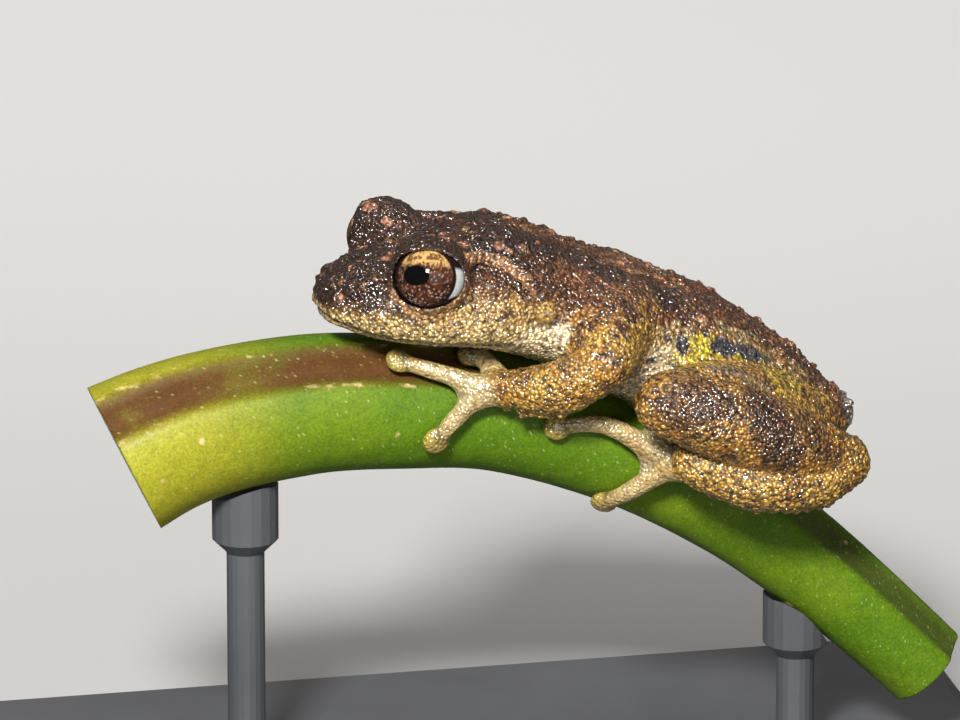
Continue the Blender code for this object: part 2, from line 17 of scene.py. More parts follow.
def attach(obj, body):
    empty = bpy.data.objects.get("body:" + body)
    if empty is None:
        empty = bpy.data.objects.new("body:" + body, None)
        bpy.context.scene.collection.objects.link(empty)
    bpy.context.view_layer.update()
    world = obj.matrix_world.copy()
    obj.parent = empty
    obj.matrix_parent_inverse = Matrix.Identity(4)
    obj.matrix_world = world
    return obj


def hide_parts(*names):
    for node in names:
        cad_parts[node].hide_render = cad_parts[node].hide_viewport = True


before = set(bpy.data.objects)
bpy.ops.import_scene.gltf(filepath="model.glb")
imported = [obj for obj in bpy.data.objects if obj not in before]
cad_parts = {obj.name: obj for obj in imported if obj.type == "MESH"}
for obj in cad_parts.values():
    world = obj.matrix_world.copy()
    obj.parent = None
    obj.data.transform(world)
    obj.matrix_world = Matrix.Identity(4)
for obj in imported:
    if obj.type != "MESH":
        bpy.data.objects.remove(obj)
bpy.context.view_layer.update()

MM = 0.001
PLACE = np.array((-2.0, 0.0, 31.5))
SEED = 41
WART_COUNT = 420
WART_SPAN = (-10.2, 22.8)
PITCH = 0.1
SKIN_CLEARANCE = 0.05

# View of the photo: 60 mm across the picture, seen from the frog's left, a little from ahead.
VIEW_AZIMUTH = math.radians(-12.0)
VIEW_ELEVATION = math.radians(18.0)
VIEW_WIDTH = 0.060
VIEW_DISTANCE = 0.6
SENSOR = 36.0

# Body: distance along X, lowest and highest point, half width, and where it is widest (0 to 1).
BODY = np.array((
    (-9.9, 3.8, 6.6, 2.6, 0.38),
    (-8.8, 3.3, 7.4, 3.8, 0.33),
    (-7.0, 2.8, 8.0, 4.9, 0.29),
    (-4.5, 2.4, 8.3, 5.7, 0.27),
    (-2.0, 2.0, 9.15, 6.2, 0.28),
    (0.5, 1.25, 9.4, 6.3, 0.31),
    (3.2, 0.3, 8.5, 5.9, 0.36),
    (5.5, -0.9, 7.4, 5.6, 0.40),
    (8.0, -2.4, 6.3, 5.7, 0.42),
    (11.0, -3.6, 5.2, 5.8, 0.42),
    (14.0, -5.0, 3.9, 5.6, 0.42),
    (17.0, -6.4, 1.9, 5.0, 0.42),
    (19.5, -7.6, 0.0, 4.2, 0.42),
    (21.5, -7.8, -1.9, 3.3, 0.42),
    (22.5, -7.4, -3.1, 2.6, 0.42),
))
BODY_ROUNDNESS = 2.15
SNOUT_CAP = 0.8
SNOUT_TIP = -10.69
RUMP_CAP = 0.9
RUMP_TIP = 23.39
HEAD_YAW = math.radians(8.5)
NECK_PIVOT = 2.5
NECK_TURN = 2.5

# Eyes, in the head before it is turned at the neck.
EYE_AT = (-5.0, 4.35, 7.4)
EYE_RADIUS = 2.2
EYE_FORWARD = math.radians(28.0)
EYE_LIFT = math.radians(14.0)
LID_RADIUS = 2.5
LID_INSET = 0.12
LID_OPENING = (3.0, 2.02, 3.6)
NOSTRIL_AT = -9.3
NOSTRIL_ANGLE = math.radians(48.0)
EAR_AT = -1.3
EAR_ANGLE = math.radians(24.0)
EAR_RADIUS = 1.0
MOUTH_CORNER = 0.3
FOLD = ((-2.4, -5.7, 8.5, 0.3), (-0.9, -5.1, 8.35, 0.36), (0.5, -5.4, 7.9, 0.4), (1.6, -5.95, 7.05, 0.42),
        (2.3, -6.1, 6.05, 0.45), (2.8, -6.15, 4.9, 0.72))
MOUTH_LINE = np.array(((-10.7, 4.5), (-10.0, 4.25), (-8.5, 3.75), (-5.0, 3.25), (-2.0, 3.0), (0.3, 2.75)))

# Stem: distance along X, height of the centre and radius.
STEM = np.array((
    (-26.8, -6.9, 5.35),
    (-19.2, -3.5, 4.65),
    (-11.5, -2.2, 4.4),
    (-5.1, -2.4, 4.2),
    (1.3, -3.3, 3.95),
    (9.1, -6.4, 3.6),
    (15.8, -10.4, 3.35),
    (21.0, -14.6, 3.1),
    (26.2, -19.5, 2.9),
    (30.5, -23.9, 2.8),
))
STEM_CUTS = (0.55, 8.65)
CHANNEL_ANGLE = math.radians(36.0)
CHANNEL_WIDTH = math.radians(19.0)
CHANNEL_DEPTH = 0.11

# Limbs of the left side: points X, Y, Z and radius. The right side mirrors them.
UPPER_ARM = ((8.6, -3.0, 3.6, 1.7), (7.2, -5.1, 3.0, 2.1), (6.4, -7.0, 1.9, 1.9), (5.5, -7.5, 1.1, 1.45))
FOREARM = ((5.2, -7.5, 0.9, 1.4), (3.8, -7.1, 0.25, 1.7), (2.2, -6.2, -0.1, 1.5), (0.3, -5.0, -0.3, 1.1))
PALM = ((0.9, -5.1, -0.35, 0.85), (-0.3, -4.9, -0.4, 1.0), (-1.2, -4.75, -0.45, 0.75))
FINGERS = (
    ((-0.2, -4.2, 0.1, 0.6), (-0.2, -3.0, 0.8, 0.42), (-0.4, -1.9, 1.25, 0.4), (-0.6, -1.2, 1.35, 0.6)),
    ((0.4, -4.3, 0.1, 0.65), (0.0, -3.3, 0.65, 0.5), (-0.6, -2.8, 1.0, 0.45), (-1.3, -2.5, 1.15, 0.62)),
    ((-1.0, -4.7, -0.2, 0.7), (-2.4, -4.3, 0.35, 0.52), (-4.0, -3.7, 0.8, 0.48), (-5.8, -3.0, 1.3, 0.75)),
    ((-0.9, -4.9, -0.7, 0.7), (-1.9, -4.95, -1.4, 0.52), (-2.9, -4.95, -2.4, 0.5), (-3.8, -4.75, -3.5, 0.78)),
)
THIGH = ((19.9, -3.0, -4.6, 2.35), (17.4, -4.5, -3.2, 2.6), (14.0, -6.4, -1.55, 2.4), (10.4, -8.1, -0.6, 1.75))
SHANK = ((9.9, -9.0, -0.8, 1.85), (13.0, -9.3, -1.7, 2.45), (17.5, -8.9, -3.7, 2.4), (21.3, -8.0, -5.4, 1.55))
TARSUS = ((21.7, -8.1, -5.8, 1.4), (19.4, -8.9, -6.5, 1.55), (15.6, -9.1, -6.15, 1.75), (11.9, -8.0, -5.0, 1.4))
SOLE = ((12.0, -6.4, -5.9, 0.95), (11.2, -5.6, -5.8, 1.05), (10.6, -5.1, -5.7, 0.8))
TOES = (
    ((11.5, -5.0, -5.3, 0.6), (11.5, -4.3, -4.3, 0.45), (11.7, -3.4, -3.7, 0.42), (11.8, -2.4, -3.5, 0.6)),
    ((11.2, -5.0, -5.2, 0.62), (10.9, -4.3, -4.0, 0.45), (10.8, -3.3, -3.2, 0.42), (10.8, -2.2, -2.9, 0.62)),
    ((11.0, -5.0, -5.1, 0.65), (10.3, -4.5, -3.9, 0.48), (9.8, -3.7, -2.9, 0.45), (9.4, -2.6, -2.3, 0.65)),
    ((11.0, -5.2, -5.6, 0.75), (9.2, -4.6, -4.5, 0.6), (6.8, -4.3, -3.3, 0.5), (4.0, -4.3, -3.3, 0.78)),
    ((11.1, -5.3, -6.0, 0.75), (9.8, -4.9, -6.9, 0.6), (8.5, -4.3, -7.9, 0.52), (7.3, -3.0, -8.9, 0.78)),
)
KNEE = ((9.9, 8.7, -0.7), (1.75, 1.5, 1.75))
HEEL = ((21.6, 7.9, -5.5), (1.45, 1.2, 1.5))
VENT_AT = np.array((22.9, 0.0, -5.0))

# Webs: thickness, number of strips, how far they reach along the toes, and sag of the free edge.
WEB_THICKNESS = 0.4
WEB_STRIPS = 7
WEB_REACH = 1.25
WEB_SAG = 0.35

# Digits: girth beside the solids', and end of the shaft. Discs: radius, length and half thickness.
DIGIT_FULLNESS = 1.12
SHAFT_END = 0.42
DISC_FULLNESS = 1.06
DISC_LENGTH = 1.08
DISC_HALF_THICKNESS = 0.5


def smooth(keys, rows, key):
    """Values at key on a cubic that passes through the rows."""
    key = min(max(key, keys[0]), keys[-1])
    i = min(max(int(np.searchsorted(keys, key)) - 1, 0), len(keys) - 2)
    before = max(i - 1, 0)
    after = min(i + 2, len(keys) - 1)
    span = keys[i + 1] - keys[i]
    t = (key - keys[i]) / span
    slope_a = (rows[i + 1] - rows[before]) / (keys[i + 1] - keys[before]) * span
    slope_b = (rows[after] - rows[i]) / (keys[after] - keys[i]) * span
    return ((2 * t**3 - 3 * t**2 + 1) * rows[i] + (t**3 - 2 * t**2 + t) * slope_a
            + (3 * t**2 - 2 * t**3) * rows[i + 1] + (t**3 - t**2) * slope_b)


def body_section(x):
    """Lowest and highest point, half width and widest level of the body at x."""
    low, high, half, widest = smooth(BODY[:, 0], BODY[:, 1:], x)
    past = max((BODY[0, 0] - x) / SNOUT_CAP, (x - BODY[-1, 0]) / RUMP_CAP, 0.0)
    scale = math.sqrt(max(1.0 - past * past, 0.0))
    middle = low + (high - low) * 0.45
    return middle + (low - middle) * scale, middle + (high - middle) * scale, half * scale, widest


SECTION_X = np.linspace(SNOUT_TIP, RUMP_TIP, 800)
SECTIONS = np.array([body_section(x) for x in SECTION_X])


def clamp01(value):
    """Values held between 0 and 1."""
    return np.clip(value, 0.0, 1.0)


def ramp(value, start, end):
    """A soft step from 0 at start to 1 at end."""
    t = clamp01((value - start) / (end - start))
    return t * t * (3 - 2 * t)


def turn_head(x, y, way=1.0):
    """Turn places of the head about the neck, or back again with way -1."""
    share = clamp01((NECK_PIVOT - x) / NECK_TURN)
    angle = way * HEAD_YAW * share * share * (3 - 2 * share)
    c, s = np.cos(angle), np.sin(angle)
    from_neck = x - NECK_PIVOT
    return NECK_PIVOT + from_neck * c - y * s, from_neck * s + y * c


def body_place(x, angle, grow=0.0):
    """A point of the body's surface. Angle 0 is the left side and a quarter turn is the back."""
    low, high, half, widest = body_section(x)
    level = low + (high - low) * widest
    power = 2.0 / BODY_ROUNDNESS
    c, s = math.cos(angle), math.sin(angle)
    reach = (high - level if s > 0 else level - low) + grow
    y = -math.copysign(abs(c) ** power, c) * (half + grow)
    z = level + math.copysign(abs(s) ** power, s) * reach
    turned = turn_head(x, y)
    return np.array((float(turned[0]), float(turned[1]), z))


def body_frame(x, y, z):
    """Section facts for places in space: unturned x and y, height share, and distance."""
    ux, uy = turn_head(x, y, -1.0)
    low, high, half, widest = (np.interp(ux, SECTION_X, SECTIONS[:, i]) for i in range(4))
    level = low + (high - low) * widest
    rise = z - level
    reach = np.where(rise > 0, high - level, level - low)
    reach = np.maximum(reach, 0.02)
    half = np.maximum(half, 0.02)
    q = (np.abs(uy / half) ** BODY_ROUNDNESS + np.abs(rise / reach) ** BODY_ROUNDNESS) ** (1 / BODY_ROUNDNESS)
    radial = np.sqrt(uy * uy + rise * rise)
    distance = radial - radial / np.maximum(q, 1e-6)
    distance = np.where(q < 1e-6, -np.minimum(half, reach), distance)
    past = np.maximum(SNOUT_TIP - ux, ux - RUMP_TIP)
    distance = np.where(past > 0, np.sqrt(np.maximum(distance, 0) ** 2 + past**2), distance)
    return ux, uy, rise / reach, distance


class Shape:
    """A solid given by its box and by its distance from places in space."""

    def __init__(self, low, high, distance):
        self.low = np.array(low, dtype=float)
        self.high = np.array(high, dtype=float)
        self.distance = distance


def body_shape():
    """Head and trunk."""
    return Shape((-12, -7.5, -8.5), (24.5, 7.5, 10.5), lambda x, y, z: body_frame(x, y, z)[3])


def ball(centre, radii, turn=None):
    """An ellipsoid, turned so that its own axes are the columns of a matrix."""
    centre = np.array(centre, dtype=float)
    radii = np.array(radii, dtype=float)
    axes = np.eye(3) if turn is None else np.array(turn)

    def distance(x, y, z):
        offset = (x - centre[0], y - centre[1], z - centre[2])
        total = 0.0
        for i in range(3):
            along = sum(offset[j] * axes[j, i] for j in range(3))
            total = total + (along / radii[i]) ** 2
        q = np.sqrt(total)
        length = np.sqrt(offset[0] ** 2 + offset[1] ** 2 + offset[2] ** 2)
        return np.where(q > 1e-6, length - length / np.maximum(q, 1e-6), -radii.min())

    return Shape(centre - radii.max(), centre + radii.max(), distance)


def tube(path, flat=1.0, samples=14):
    """A round-ended limb through a path, flattened towards its outer face."""
    rows = np.array(path, dtype=float)
    keys = list(range(len(path)))
    stations = [smooth(keys, rows, keys[-1] * k / samples) for k in range(samples + 1)]

    def distance(x, y, z):
        nearest = None
        for a, b in zip(stations, stations[1:]):
            along = b[:3] - a[:3]
            length = float(np.dot(along, along)) + 1e-9
            t = ((x - a[0]) * along[0] + (y - a[1]) * along[1] + (z - a[2]) * along[2]) / length
            t = clamp01(t)
            dx = x - a[0] - along[0] * t
            dy = y - a[1] - along[1] * t
            dz = z - a[2] - along[2] * t
            squared = dx * dx + dy * dy + dz * dz
            if flat != 1.0:
                unit = along / math.sqrt(length)
                out = np.array((0.0, 1.0, 0.0)) - unit * unit[1]
                out /= np.linalg.norm(out)
                across = dx * out[0] + dy * out[1] + dz * out[2]
                squared = squared + across * across * (1 / flat**2 - 1)
            here = np.sqrt(squared) - (a[3] + (b[3] - a[3]) * t)
            nearest = here if nearest is None else np.minimum(nearest, here)
        return nearest

    reach = rows[:, 3].max()
    return Shape(rows[:, :3].min(0) - reach, rows[:, :3].max(0) + reach, distance)


STEM_STEPS = 160
STEM_KEYS = list(range(len(STEM)))
STEM_ROWS = np.array([smooth(STEM_KEYS, STEM, STEM_KEYS[-1] * k / STEM_STEPS) for k in range(STEM_STEPS + 1)])


def channel(angle):
    """How far an angle round the stem is from the channel's middle, and how deep the channel is there."""
    off = (angle - CHANNEL_ANGLE + math.pi) % (2 * math.pi) - math.pi
    return off, CHANNEL_DEPTH * np.exp(-((off / CHANNEL_WIDTH) ** 4))


def stem_distance(x, y, z):
    """Distance from the stem's surface, with its channel."""
    flat_x, flat_z = np.broadcast_arrays(x, z)
    nearest = np.full(flat_x.shape, 1e9)
    up = np.zeros(flat_x.shape)
    radius = np.ones(flat_x.shape)
    for a, b in zip(STEM_ROWS, STEM_ROWS[1:]):
        ax, az = b[0] - a[0], b[1] - a[1]
        length = ax * ax + az * az
        t = clamp01(((flat_x - a[0]) * ax + (flat_z - a[1]) * az) / length)
        dx, dz = flat_x - a[0] - ax * t, flat_z - a[1] - az * t
        gap = dx * dx + dz * dz
        closer = gap < nearest
        nearest = np.where(closer, gap, nearest)
        up = np.where(closer, (dz * ax - dx * az) / math.sqrt(length), up)
        radius = np.where(closer, a[2] + (b[2] - a[2]) * t, radius)
    _, dent = channel(np.arctan2(-y, up))
    return np.sqrt(up * up + y * y) - radius * (1 - dent)


def stem_normal(point):
    """The way that points off the stem's surface, near a point."""
    best = STEM_ROWS[np.argmin((STEM_ROWS[:, 0] - point[0]) ** 2 + (STEM_ROWS[:, 1] - point[2]) ** 2)]
    away = np.array((point[0] - best[0], point[1], point[2] - best[1]))
    return away / np.linalg.norm(away)


# Clay: depth of empty space, room worked round each solid, and slices worked at a time.
FAR = 3.0
MARGIN = 0.8
SLICES = 24


class Clay:
    """A block of space in which solids are blended into one skin."""

    def __init__(self, low, high, pitch):
        self.low = np.array(low, dtype=float)
        self.pitch = pitch
        count = np.ceil((np.array(high) - self.low) / pitch).astype(int) + 1
        self.depth = np.full(count, FAR, np.float32)

    def window(self, shape, margin):
        """The cells round a shape, and their places."""
        first = np.floor((shape.low - margin - self.low) / self.pitch).astype(int)
        last = np.ceil((shape.high + margin - self.low) / self.pitch).astype(int) + 1
        first = np.clip(first, 0, self.depth.shape)
        last = np.clip(last, 0, self.depth.shape)
        axes = [self.low[i] + self.pitch * np.arange(first[i], last[i]) for i in range(3)]
        return first, last, axes

    def change(self, shape, blend, rule):
        """Run a rule over the cells round a shape, a few slices at a time."""
        first, last, axes = self.window(shape, blend + MARGIN)
        for start in range(first[0], last[0], SLICES):
            stop = min(start + SLICES, last[0])
            x = axes[0][start - first[0]:stop - first[0], None, None]
            d = shape.distance(x, axes[1][None, :, None], axes[2][None, None, :])
            cells = self.depth[start:stop, first[1]:last[1], first[2]:last[2]]
            cells[...] = rule(cells, d, blend)

    def add(self, shape, blend=0.0):
        """Join a solid, with a fillet as wide as the blend."""
        self.change(shape, blend, soft_min)

    def cut(self, shape, blend=0.0):
        """Cut a solid away, with rounded edges as wide as the blend."""
        self.change(shape, blend, lambda cells, d, k: -soft_min(-cells, d, k))

    def mesh(self):
        """Vertices and four-sided faces of the surface."""
        grid = openvdb.FloatGrid(FAR)
        grid.copyFromArray(self.depth)
        points, _, quads = grid.convertToPolygons(0.0, 0.0)
        return self.low + points.astype(float) * self.pitch, quads.astype(np.int64)


def soft_min(a, b, blend):
    """The smaller of two distances, rounded where they meet."""
    if blend <= 0:
        return np.minimum(a, b)
    share = np.maximum(blend - np.abs(a - b), 0.0) / blend
    return np.minimum(a, b) - share * share * blend / 4


def mirrored(path, side):
    """A limb's path on the left side (-1) or the right side (1)."""
    return tuple((x, -side * y, z, r) for x, y, z, r in path)


def head_path(path, side):
    """A path on the turned head's left side, or its mirror path on the right side."""
    rows = []
    for x, y, z, r in path:
        ux, uy = turn_head(x, y, -1.0)
        tx, ty = turn_head(ux, -side * uy)
        rows.append((float(tx), float(ty), z, r))
    return rows


def eye_centre(side):
    """Centre of an eyeball; side is -1 on the left and 1 on the right."""
    x, y = turn_head(EYE_AT[0], side * EYE_AT[1])
    return np.array((float(x), float(y), EYE_AT[2]))


def eye_axes(side):
    """Turn of an eye, as columns: to its right, upwards, and the way it looks."""
    flat = math.cos(EYE_LIFT)
    look = Vector((-math.sin(EYE_FORWARD) * flat, side * math.cos(EYE_FORWARD) * flat, math.sin(EYE_LIFT)))
    look = Matrix.Rotation(HEAD_YAW, 3, 'Z') @ look
    right = Vector((0.0, 0.0, 1.0)).cross(look).normalized()
    return np.array((right, look.cross(right), look)).T


def digit_shapes(path):
    """A finger or toe, and the disc at its tip."""
    tip, before = np.array(path[-1][:3]), np.array(path[-2][:3])
    out = stem_normal(tip)
    across = np.cross(out, tip - before)
    across /= np.linalg.norm(across)
    axes = np.array((np.cross(across, out), across, out)).T
    shaft = [(x, y, z, r * DIGIT_FULLNESS) for x, y, z, r in path[:-1]]
    shaft.append((*path[-1][:3], SHAFT_END))
    radius = path[-1][3] * DISC_FULLNESS
    return tube(shaft, 0.95, 8), ball(tip, (radius * DISC_LENGTH, radius, DISC_HALF_THICKNESS), axes)


def web_shape(first, second):
    """The skin between two toes, from their root to about half their length."""
    rows = [np.array(path, dtype=float) for path in (first, second)]
    keys = list(range(len(first)))
    strips = []
    for k in range(WEB_STRIPS):
        t = 0.1 + WEB_REACH * k / (WEB_STRIPS - 1)
        a, b = (smooth(keys, row, t)[:3] for row in rows)
        pull = WEB_SAG * k / (WEB_STRIPS - 1)
        root_a, root_b = (smooth(keys, row, max(t - 0.8, 0.0))[:3] for row in rows)
        middle = (a + b) / 2 + ((root_a + root_b) / 2 - (a + b) / 2) * pull
        half = WEB_THICKNESS / 2
        strips.append(tube([(*a, half), (*middle, half), (*b, half)], 1.0, 6))
    low = np.min([strip.low for strip in strips], axis=0)
    high = np.max([strip.high for strip in strips], axis=0)

    def distance(x, y, z):
        total = strips[0].distance(x, y, z)
        for strip in strips[1:]:
            total = soft_min(total, strip.distance(x, y, z), 0.35)
        return total

    return Shape(low, high, distance)


def limb_shapes(side):
    """The solids of one side's limbs, by name."""
    shapes = {
        "upper_arm": [tube(mirrored(UPPER_ARM, side))],
        "forearm": [tube(mirrored(FOREARM, side), 0.85)],
        "thigh": [tube(mirrored(THIGH, side))],
        "shank": [tube(mirrored(SHANK, side), 0.8)],
        "tarsus": [tube(mirrored(TARSUS, side), 0.8)],
        "hand": [tube(mirrored(PALM, side), 0.8)],
        "foot": [tube(mirrored(SOLE, side), 0.8)],
        "finger_tips": [],
        "toe_tips": [],
        "web": [],
    }
    for root, digits, tips in (("hand", FINGERS, "finger_tips"), ("foot", TOES, "toe_tips")):
        for path in digits:
            shaft, disc = digit_shapes(mirrored(path, side))
            shapes[root].append(shaft)
            shapes[tips].append(disc)
    for a in range(len(TOES) - 1):
        shapes["web"].append(web_shape(mirrored(TOES[a], side), mirrored(TOES[a + 1], side)))
    shapes["web"].append(web_shape(mirrored(FINGERS[2], side), mirrored(FINGERS[3], side)))
    return shapes


LIMBS = {side: limb_shapes(side) for side in (-1, 1)}
BLENDS = {"upper_arm": 2.0, "forearm": 0.6, "thigh": 0.8, "shank": 0.18, "tarsus": 0.14,
          "hand": 0.35, "foot": 0.35, "finger_tips": 0.3, "toe_tips": 0.3, "web": 0.3}


def fringe(path, side, start, end, count, seed):
    """Tapered lobes of the skin fringe along the lower edge of a limb."""
    draw = random.Random(seed)
    rows = np.array(mirrored(path, side))
    keys = list(range(len(path)))
    lobes = []
    for k in range(count):
        t = keys[-1] * (start + (end - start) * (k + draw.uniform(-0.25, 0.25)) / (count - 1))
        x, y, z, r = smooth(keys, rows, t)
        size = draw.uniform(0.3, 0.48)
        drop = draw.uniform(0.86, 1.0)
        lobes.append(ball((x, y + draw.uniform(-0.08, 0.08), z - r * drop), (size, 0.26, size * 1.1)))
    return lobes


def wart_list():
    """Centres, sizes and kinds of the warts on back, head and limbs."""
    draw = random.Random(SEED)
    found = []
    while len(found) < WART_COUNT:
        x = draw.uniform(*WART_SPAN)
        spread = 0.75 if x < 3 else 0.62
        angle = math.pi / 2 + draw.gauss(0.0, spread)
        size = draw.uniform(0.1, 0.26) if draw.random() < 0.8 else draw.uniform(0.26, 0.42)
        if x < -7:
            size *= 0.75
        centre = body_place(x, angle, -0.25 * size)
        if any(np.linalg.norm(centre - eye_centre(side)) < EYE_RADIUS + 0.25 for side in (-1, 1)):
            continue
        found.append((centre, size, draw.random()))
    return found


WARTS = wart_list()


def model_frog():
    """Blend head, trunk, limbs, lids, folds and warts into one skin."""
    clay = Clay((-12.4, -13.0, -11.0), (25.2, 13.0, 11.8), PITCH)
    clay.add(body_shape())
    for side in (-1, 1):
        for name in ("upper_arm", "forearm", "thigh", "shank", "tarsus", "hand", "foot", "web",
                     "finger_tips", "toe_tips"):
            for shape in LIMBS[side][name]:
                clay.add(shape, BLENDS[name])
        for (x, y, z), radii in (KNEE, HEEL):
            clay.add(ball((x, side * y, z), radii), 0.5)
        for lobe in fringe(FOREARM, side, 0.02, 0.92, 9, SEED + 2):
            clay.add(lobe, 0.18)
        for lobe in fringe(TARSUS, side, -0.02, 0.98, 16, SEED + 3):
            clay.add(lobe, 0.18)
        add_face(clay, side)
    for shape in vent_shapes():
        clay.add(shape, 0.25)
    for centre, size, _ in WARTS:
        clay.add(ball(centre, (size, size, size * 0.95)), 0.12)
    stem = Shape((-13, -6.5, -12), (26, 6.5, 6), lambda x, y, z: stem_distance(x, y, z) - SKIN_CLEARANCE)
    clay.cut(stem, 0.05)
    return clay.mesh()


def add_face(clay, side):
    """Lids, nostril, ear and the fold behind the eye, on one side."""
    axes = eye_axes(side)
    centre = eye_centre(side)
    clay.add(ball(centre - axes @ np.array((0.0, -0.05, LID_INSET)), (LID_RADIUS,) * 3), 0.6)
    clay.add(ball(centre + axes @ np.array((side * 0.2, 1.35, -0.2)), (1.9, 1.1, 1.9), axes), 0.5)
    clay.add(ball(centre + axes @ np.array((0.0, 0.55, -1.7)), (2.4, 1.3, 1.6), axes), 0.9)
    clay.cut(ball(centre, (EYE_RADIUS + 0.03,) * 3), 0.03)
    clay.cut(ball(centre + axes @ np.array((side * 0.1, -0.1, 3.0)), LID_OPENING, axes), 0.1)
    nostril_angle = NOSTRIL_ANGLE if side < 0 else math.pi - NOSTRIL_ANGLE
    ear_angle = EAR_ANGLE if side < 0 else math.pi - EAR_ANGLE
    nostril = body_place(NOSTRIL_AT, nostril_angle)
    clay.add(ball(body_place(NOSTRIL_AT, nostril_angle, -0.2), (0.55, 0.5, 0.5)), 0.35)
    clay.cut(ball(nostril + np.array((-0.1, side * 0.3, 0.2)), (0.2, 0.3, 0.24)), 0.12)
    clay.add(tube(head_path(FOLD, side), 1.0, 20), 0.22)
    ear = body_place(EAR_AT, ear_angle, -0.1)
    clay.add(ball(ear, (EAR_RADIUS, 0.25, EAR_RADIUS)), 0.3)
    hollow = (EAR_RADIUS * 0.72, 0.16, EAR_RADIUS * 0.72)
    clay.cut(ball(ear + np.array((0.0, side * 0.33, 0.05)), hollow), 0.15)


def vent_shapes():
    """The small knob under the end of the back, with pale tubercles."""
    draw = random.Random(SEED + 5)
    shapes = [ball(VENT_AT, (1.0, 1.3, 1.3))]
    for _ in range(16):
        spot = (0.75 + draw.uniform(-0.2, 0.1), draw.uniform(-0.95, 0.95), draw.uniform(-0.95, 0.95))
        shapes.append(ball(VENT_AT + np.array(spot), (0.26, 0.24, 0.24)))
    return shapes


def lattice(ix, iy, iz, seed):
    """A repeatable draw from 0 to 1 for each cell of space."""
    n = (ix.astype(np.int64) * 374761393 + iy.astype(np.int64) * 668265263
         + iz.astype(np.int64) * 974634777 + seed * 1274126177) & 0xFFFFFFFF
    n = ((n ^ (n >> 13)) * 1274126177) & 0xFFFFFFFF
    n = ((n ^ (n >> 16)) * 2246822519) & 0xFFFFFFFF
    return ((n ^ (n >> 15)) & 0xFFFFFF) / float(0xFFFFFF)


def mottle(points, size, seed, octaves=3):
    """Cloudy noise from 0 to 1, with lumps of about a size."""
    total = np.zeros(len(points))
    weight = 0.0
    for octave in range(octaves):
        p = points / (size / 2**octave)
        cell = np.floor(p)
        f = p - cell
        f = f * f * (3 - 2 * f)
        value = 0.0
        for corner in range(8):
            dx, dy, dz = corner & 1, (corner >> 1) & 1, corner >> 2
            share = ((f[:, 0] if dx else 1 - f[:, 0]) * (f[:, 1] if dy else 1 - f[:, 1])
                     * (f[:, 2] if dz else 1 - f[:, 2]))
            value = value + share * lattice(cell[:, 0] + dx, cell[:, 1] + dy, cell[:, 2] + dz, seed + octave)
        total += value * 0.5**octave
        weight += 0.5**octave
    return total / weight


def pebbles(points, size, seed):
    """Distance to the nearest of many scattered points, in cells, and that point's own draw."""
    p = points / size
    cell = np.floor(p)
    best = np.full(len(points), 9.0)
    owner = np.zeros(len(points))
    for dx in (-1, 0, 1):
        for dy in (-1, 0, 1):
            for dz in (-1, 0, 1):
                c = cell + np.array((dx, dy, dz))
                spot = np.stack([c[:, i] + lattice(c[:, 0], c[:, 1], c[:, 2], seed + i) for i in range(3)], 1)
                gap = np.sqrt(((spot - p) ** 2).sum(1))
                closer = gap < best
                best = np.where(closer, gap, best)
                draw = lattice(c[:, 0], c[:, 1], c[:, 2], seed + 7)
                owner = np.where(closer, draw, owner)
    return best, owner


def surface_normals(points, quads):
    """Unit normals of the vertices of a closed mesh of four-sided faces."""
    a, b, c, d = (points[quads[:, i]] for i in range(4))
    face = np.cross(c - a, d - b)
    normals = np.zeros_like(points)
    for i in range(4):
        for axis in range(3):
            normals[:, axis] += np.bincount(quads[:, i], face[:, axis], len(points))
    return normals / np.maximum(np.linalg.norm(normals, axis=1, keepdims=True), 1e-12)


def relax(points, quads, share, rounds):
    """Move each vertex a share of the way to the middle of its neighbours."""
    for _ in range(rounds):
        total = np.zeros_like(points)
        count = np.zeros(len(points))
        for i in range(4):
            j = (i + 1) % 4
            for axis in range(3):
                total[:, axis] += np.bincount(quads[:, i], points[quads[:, j], axis], len(points))
                total[:, axis] += np.bincount(quads[:, j], points[quads[:, i], axis], len(points))
            count += np.bincount(quads[:, i], minlength=len(points))
            count += np.bincount(quads[:, j], minlength=len(points))
        points = points + share * (total / np.maximum(count, 1)[:, None] - points)
    return points


def largest_shell(points, quads):
    """Drop every scrap of surface that isn't joined to the largest one."""
    label = np.arange(len(points))
    while True:
        low = label[quads].min(1)
        fresh = label.copy()
        for i in range(4):
            np.minimum.at(fresh, quads[:, i], low)
        fresh = fresh[fresh]
        if np.array_equal(fresh, label):
            break
        label = fresh
    names, sizes = np.unique(label, return_counts=True)
    keep = label == names[np.argmax(sizes)]
    number = np.cumsum(keep) - 1
    return points[keep], number[quads[keep[quads[:, 0]]]]


def add_object(name, data):
    """A new object of the scene."""
    made = bpy.data.objects.new(name, data)
    bpy.context.scene.collection.objects.link(made)
    return made


def make_mesh(name, points, quads, colours, **numbers):
    """A smooth mesh object from places in millimetres, with colours and numbers on its points."""
    mesh = bpy.data.meshes.new(name)
    mesh.vertices.add(len(points))
    mesh.vertices.foreach_set("co", ((points + PLACE) * MM).astype(np.float32).ravel())
    sides = quads.shape[1]
    mesh.loops.add(quads.size)
    mesh.loops.foreach_set("vertex_index", quads.astype(np.int32).ravel())
    mesh.polygons.add(len(quads))
    mesh.polygons.foreach_set("loop_start", np.arange(0, quads.size, sides, dtype=np.int32))
    mesh.update(calc_edges=True)
    mesh.validate()
    tint = mesh.attributes.new("tint", 'FLOAT_COLOR', 'POINT')
    rgba = np.ones((len(points), 4), np.float32)
    rgba[:, :3] = colours
    tint.data.foreach_set("color", rgba.ravel())
    for key, values in numbers.items():
        mesh.attributes.new(key, 'FLOAT', 'POINT').data.foreach_set("value", values.astype(np.float32))
    mesh.shade_smooth()
    return add_object(name, mesh)


